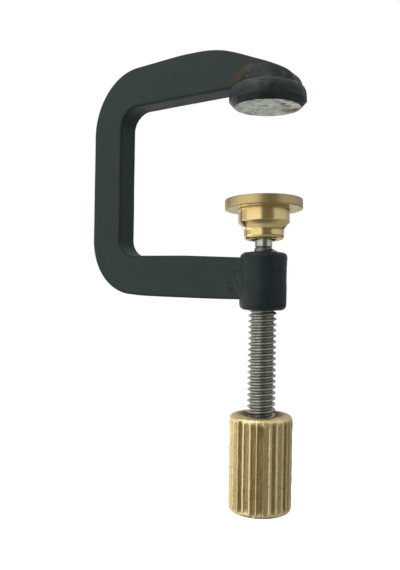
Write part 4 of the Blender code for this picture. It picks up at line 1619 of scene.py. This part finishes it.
@dataclass(frozen=True)
class BallSteel:
    """Plain ground steel for the pieces that hide in the foot, greasy and stained."""

    name: str = "ground steel"
    colour: Colour = (0.44, 0.44, 0.43)
    roughness: float = 0.22

    def make(self, effects: Effects) -> Material:
        """Builds the material.

        Args:
            effects: the shared groups.

        Returns:
            The material.
        """
        made = Finish(self.name, 1.0, self.roughness)
        graph = made.graph
        cloud = made.effect(effects.mottle, "Mask", Scale=600.0)
        greasy = made.effect(effects.bloom, "Mask", Scale=900.0, Start=0.5)
        tone = graph.blend(graph.times(cloud, 0.5), self.colour, (0.25, 0.245, 0.22))
        made.feed("Base Color", graph.blend(graph.times(greasy, 0.6), tone, (0.13, 0.11, 0.075)))
        made.feed("Roughness", graph.math("MULTIPLY_ADD", greasy, 0.2, self.roughness))
        lines = made.effect(effects.scratches, "Mask", Scale=1500.0, Width=0.03)
        made.relief(graph.times(lines, -1.0), 0.005 * MM)
        return made.material


# ---------------------------------------------------------------- the studio
@dataclass
class Studio:
    """A plain pale floor, soft light from the left and front, and the camera."""

    eye: tuple[float, float, float] = (63.265 * MM, -140.047 * MM, -40.622 * MM)
    yaw: float = 0.5166
    pitch: float = 0.004
    roll: float = 0.016
    lens: float = 42.97
    floor_z: float = -0.34
    facing: float = -65.7

    def camera(self) -> None:
        """Makes the camera: heading yaw to the left of +Y, tipped by pitch and leaning by roll."""
        level = math.cos(self.pitch)
        forward = np.array([-math.sin(self.yaw) * level, math.cos(self.yaw) * level, math.sin(self.pitch)])
        right = np.array([math.cos(self.yaw), math.sin(self.yaw), 0.0])
        up = np.cross(right, forward)
        lean_right = right * math.cos(self.roll) + up * math.sin(self.roll)
        lean_up = up * math.cos(self.roll) - right * math.sin(self.roll)
        data = bpy.data.cameras.new("camera")
        data.sensor_width = 36.0
        data.lens = self.lens
        data.clip_start = 0.005
        data.clip_end = 20.0
        made = bpy.data.objects.new("camera", data)
        place = np.eye(4)
        place[:3, 0], place[:3, 1], place[:3, 2], place[:3, 3] = lean_right, lean_up, -forward, self.eye
        made.matrix_world = Matrix(place.tolist())
        bpy.context.scene.collection.objects.link(made)
        bpy.context.scene.camera = made

    def floor(self) -> None:
        """Makes the floor: a wide sheet well below the object, with a painted shadow under it and painted
        light palest at the left.
        """
        side = 1.2
        corners = np.array([(-side, -side), (side, -side), (side, side), (-side, side)])
        points = np.concatenate([corners, np.full((4, 1), self.floor_z)], 1)
        mesh = bpy.data.meshes.new("floor")
        mesh.from_pydata(points.tolist(), [], [(0, 1, 2, 3)])
        made = Finish("pale floor", 0.0, 0.9)
        graph = made.graph
        across = graph.add("SeparateXYZ", {0: graph.place()}).outputs["X"]
        flat = graph.add("VectorMath", {0: graph.place(), 1: (1.0, 1.0, 0.0)}, operation="MULTIPLY")
        away = graph.add("VectorMath", {0: flat.outputs[0]}, operation="LENGTH").outputs["Value"]
        # painted light: palest to the left, greyer to the right
        sides = graph.blend(graph.span(across, -0.10, 0.15), (0.90, 0.90, 0.87), (0.50, 0.51, 0.51))
        # painted shadow: dark under the object
        made.feed("Base Color", graph.blend(graph.span(away, 0.06, 0.30), (0.14, 0.15, 0.14), sides))
        made.shader.inputs["Emission Color"].default_value = (1.0, 1.0, 1.0, 1.0)
        made.feed("Emission Strength", made.graph.add("LightPath").outputs["Is Camera Ray"])
        mesh.materials.append(made.material)
        floor = bpy.data.objects.new("floor", mesh)
        bpy.context.scene.collection.objects.link(floor)

    def room(self) -> None:
        """Lights the object from all round.

        The light depends only on its direction: a broad bright window to the left of the front, a
        dim part straight in front, a lighter wall to the right that is dim low down, a low bright
        patch far to the left, a mid-toned wall behind and a pale ceiling.
        """
        world = bpy.data.worlds.new("room")
        world.use_nodes = True
        bpy.context.scene.world = world
        graph = Graph(world.node_tree)
        background = world.node_tree.nodes["Background"]
        direction = graph.add("SeparateXYZ", {0: graph.add("TexCoord").outputs["Generated"]})
        heading = graph.math("ARCTAN2", direction.outputs["Y"], direction.outputs["X"])
        turned = graph.math("SUBTRACT", heading, math.radians(self.facing))
        wrapped = graph.math("WRAP", turned, math.pi, -math.pi)
        share = graph.math("MULTIPLY_ADD", wrapped, 1 / TURN, 0.5)
        walls = graph.add("ValToRGB", {"Fac": share})
        ramp = walls.color_ramp
        stops = [
            (-180, (0.60, 0.60, 0.59)), (-84, (0.78, 0.78, 0.76)), (-76, (1.22, 1.24, 1.16)),
            (-14, (1.18, 1.20, 1.12)), (-8, (0.14, 0.18, 0.15)), (12, (0.16, 0.19, 0.15)),
            (20, (0.22, 0.15, 0.14)), (42, (0.26, 0.19, 0.17)), (49, (0.76, 0.80, 0.80)),
            (100, (0.66, 0.70, 0.72)), (135, (0.42, 0.44, 0.45)), (180, (0.60, 0.60, 0.59)),
        ]
        for element, (_, colour) in zip(ramp.elements, (stops[0], stops[-1])):
            element.color = (*colour, 1.0)
        for degrees, colour in stops[1:-1]:
            ramp.elements.new(degrees / 360 + 0.5).color = (*colour, 1.0)
        to_right = graph.times(graph.span(wrapped, 0.5, 0.9), graph.span(wrapped, 2.6, math.pi, (1.0, 0.0)))
        height = direction.outputs["Z"]
        dimmed = graph.times(to_right, graph.span(height, -0.13, 0.05, (0.90, 0.0)))
        side_light = graph.blend(dimmed, walls.outputs["Color"], (0.05, 0.05, 0.05))
        in_front = graph.times(graph.span(wrapped, -0.25, -0.12), graph.span(wrapped, 0.7, 0.85, (1.0, 0.0)))
        front_low = graph.times(in_front, graph.span(height, -0.10, 0.04, (0.85, 0.0)))
        side_light = graph.blend(front_low, side_light, (0.050, 0.080, 0.075))
        at_left = graph.times(graph.span(wrapped, -2.9, -2.3), graph.span(wrapped, -1.35, -1.15, (1.0, 0.0)))
        low_band = graph.times(graph.span(height, -0.42, -0.30), graph.span(height, -0.13, -0.05, (1.0, 0.0)))
        side_light = graph.blend(graph.times(at_left, low_band), side_light, (2.75, 2.66, 2.45))
        at_back = graph.span(graph.math("ABSOLUTE", wrapped), 2.75, 2.95)
        behind = graph.times(at_back, graph.span(height, -0.28, -0.08, (0.8, 0.0)))
        side_light = graph.blend(behind, side_light, (0.12, 0.16, 0.15))
        overhead = graph.span(height, 0.45, 0.75)
        underfoot = graph.span(height, -0.75, -0.42, (1.0, 0.0))
        light = graph.blend(overhead, side_light, (0.80, 0.80, 0.80))
        light = graph.blend(underfoot, light, (0.45, 0.45, 0.45))
        seen = graph.add("LightPath").outputs["Is Camera Ray"]
        world.node_tree.links.new(graph.blend(seen, light, (1.0, 1.0, 1.0)), background.inputs["Color"])
        background.inputs["Strength"].default_value = 1.0

    def lamp(self, name: str, place: tuple[float, float, float], size: float, power: float) -> None:
        """Adds a soft square lamp aimed at the middle of the object.

        Args:
            name: the lamp's name.
            place: where it hangs.
            size: its side.
            power: its power in watts.
        """
        data = bpy.data.lights.new(name, "AREA")
        data.size = size
        data.energy = power
        made = bpy.data.objects.new(name, data)
        aim = Vector((-0.015, 0.0, -0.035)) - Vector(place)
        made.matrix_world = Matrix.Translation(place) @ aim.to_track_quat("-Z", "Y").to_matrix().to_4x4()
        bpy.context.scene.collection.objects.link(made)

    def build(self) -> None:
        """Sets up the camera, the floor, the room and one soft key lamp."""
        self.camera()
        self.floor()
        self.room()
        self.lamp("soft key", (-0.20, -0.38, 0.46), 0.35, 0.9)
        settings = bpy.context.scene.view_settings
        settings.view_transform = "Standard"
        settings.look = "None"


def main() -> None:
    """Builds the studio and every piece."""
    logging.basicConfig(level=logging.INFO, format="%(message)s")
    Studio().build()
    effects = Effects()
    FrameBar().build(effects)
    AnvilPad().build(effects)
    AnvilBraze().build(effects)
    BossSleeve().build(effects)
    BossBraze().build(effects)
    ClampScrew().build(effects)
    SwivelFoot().build(effects, frame["nodes"])
    ThumbKnob().build(effects)


if __name__ == "__main__":
    main()
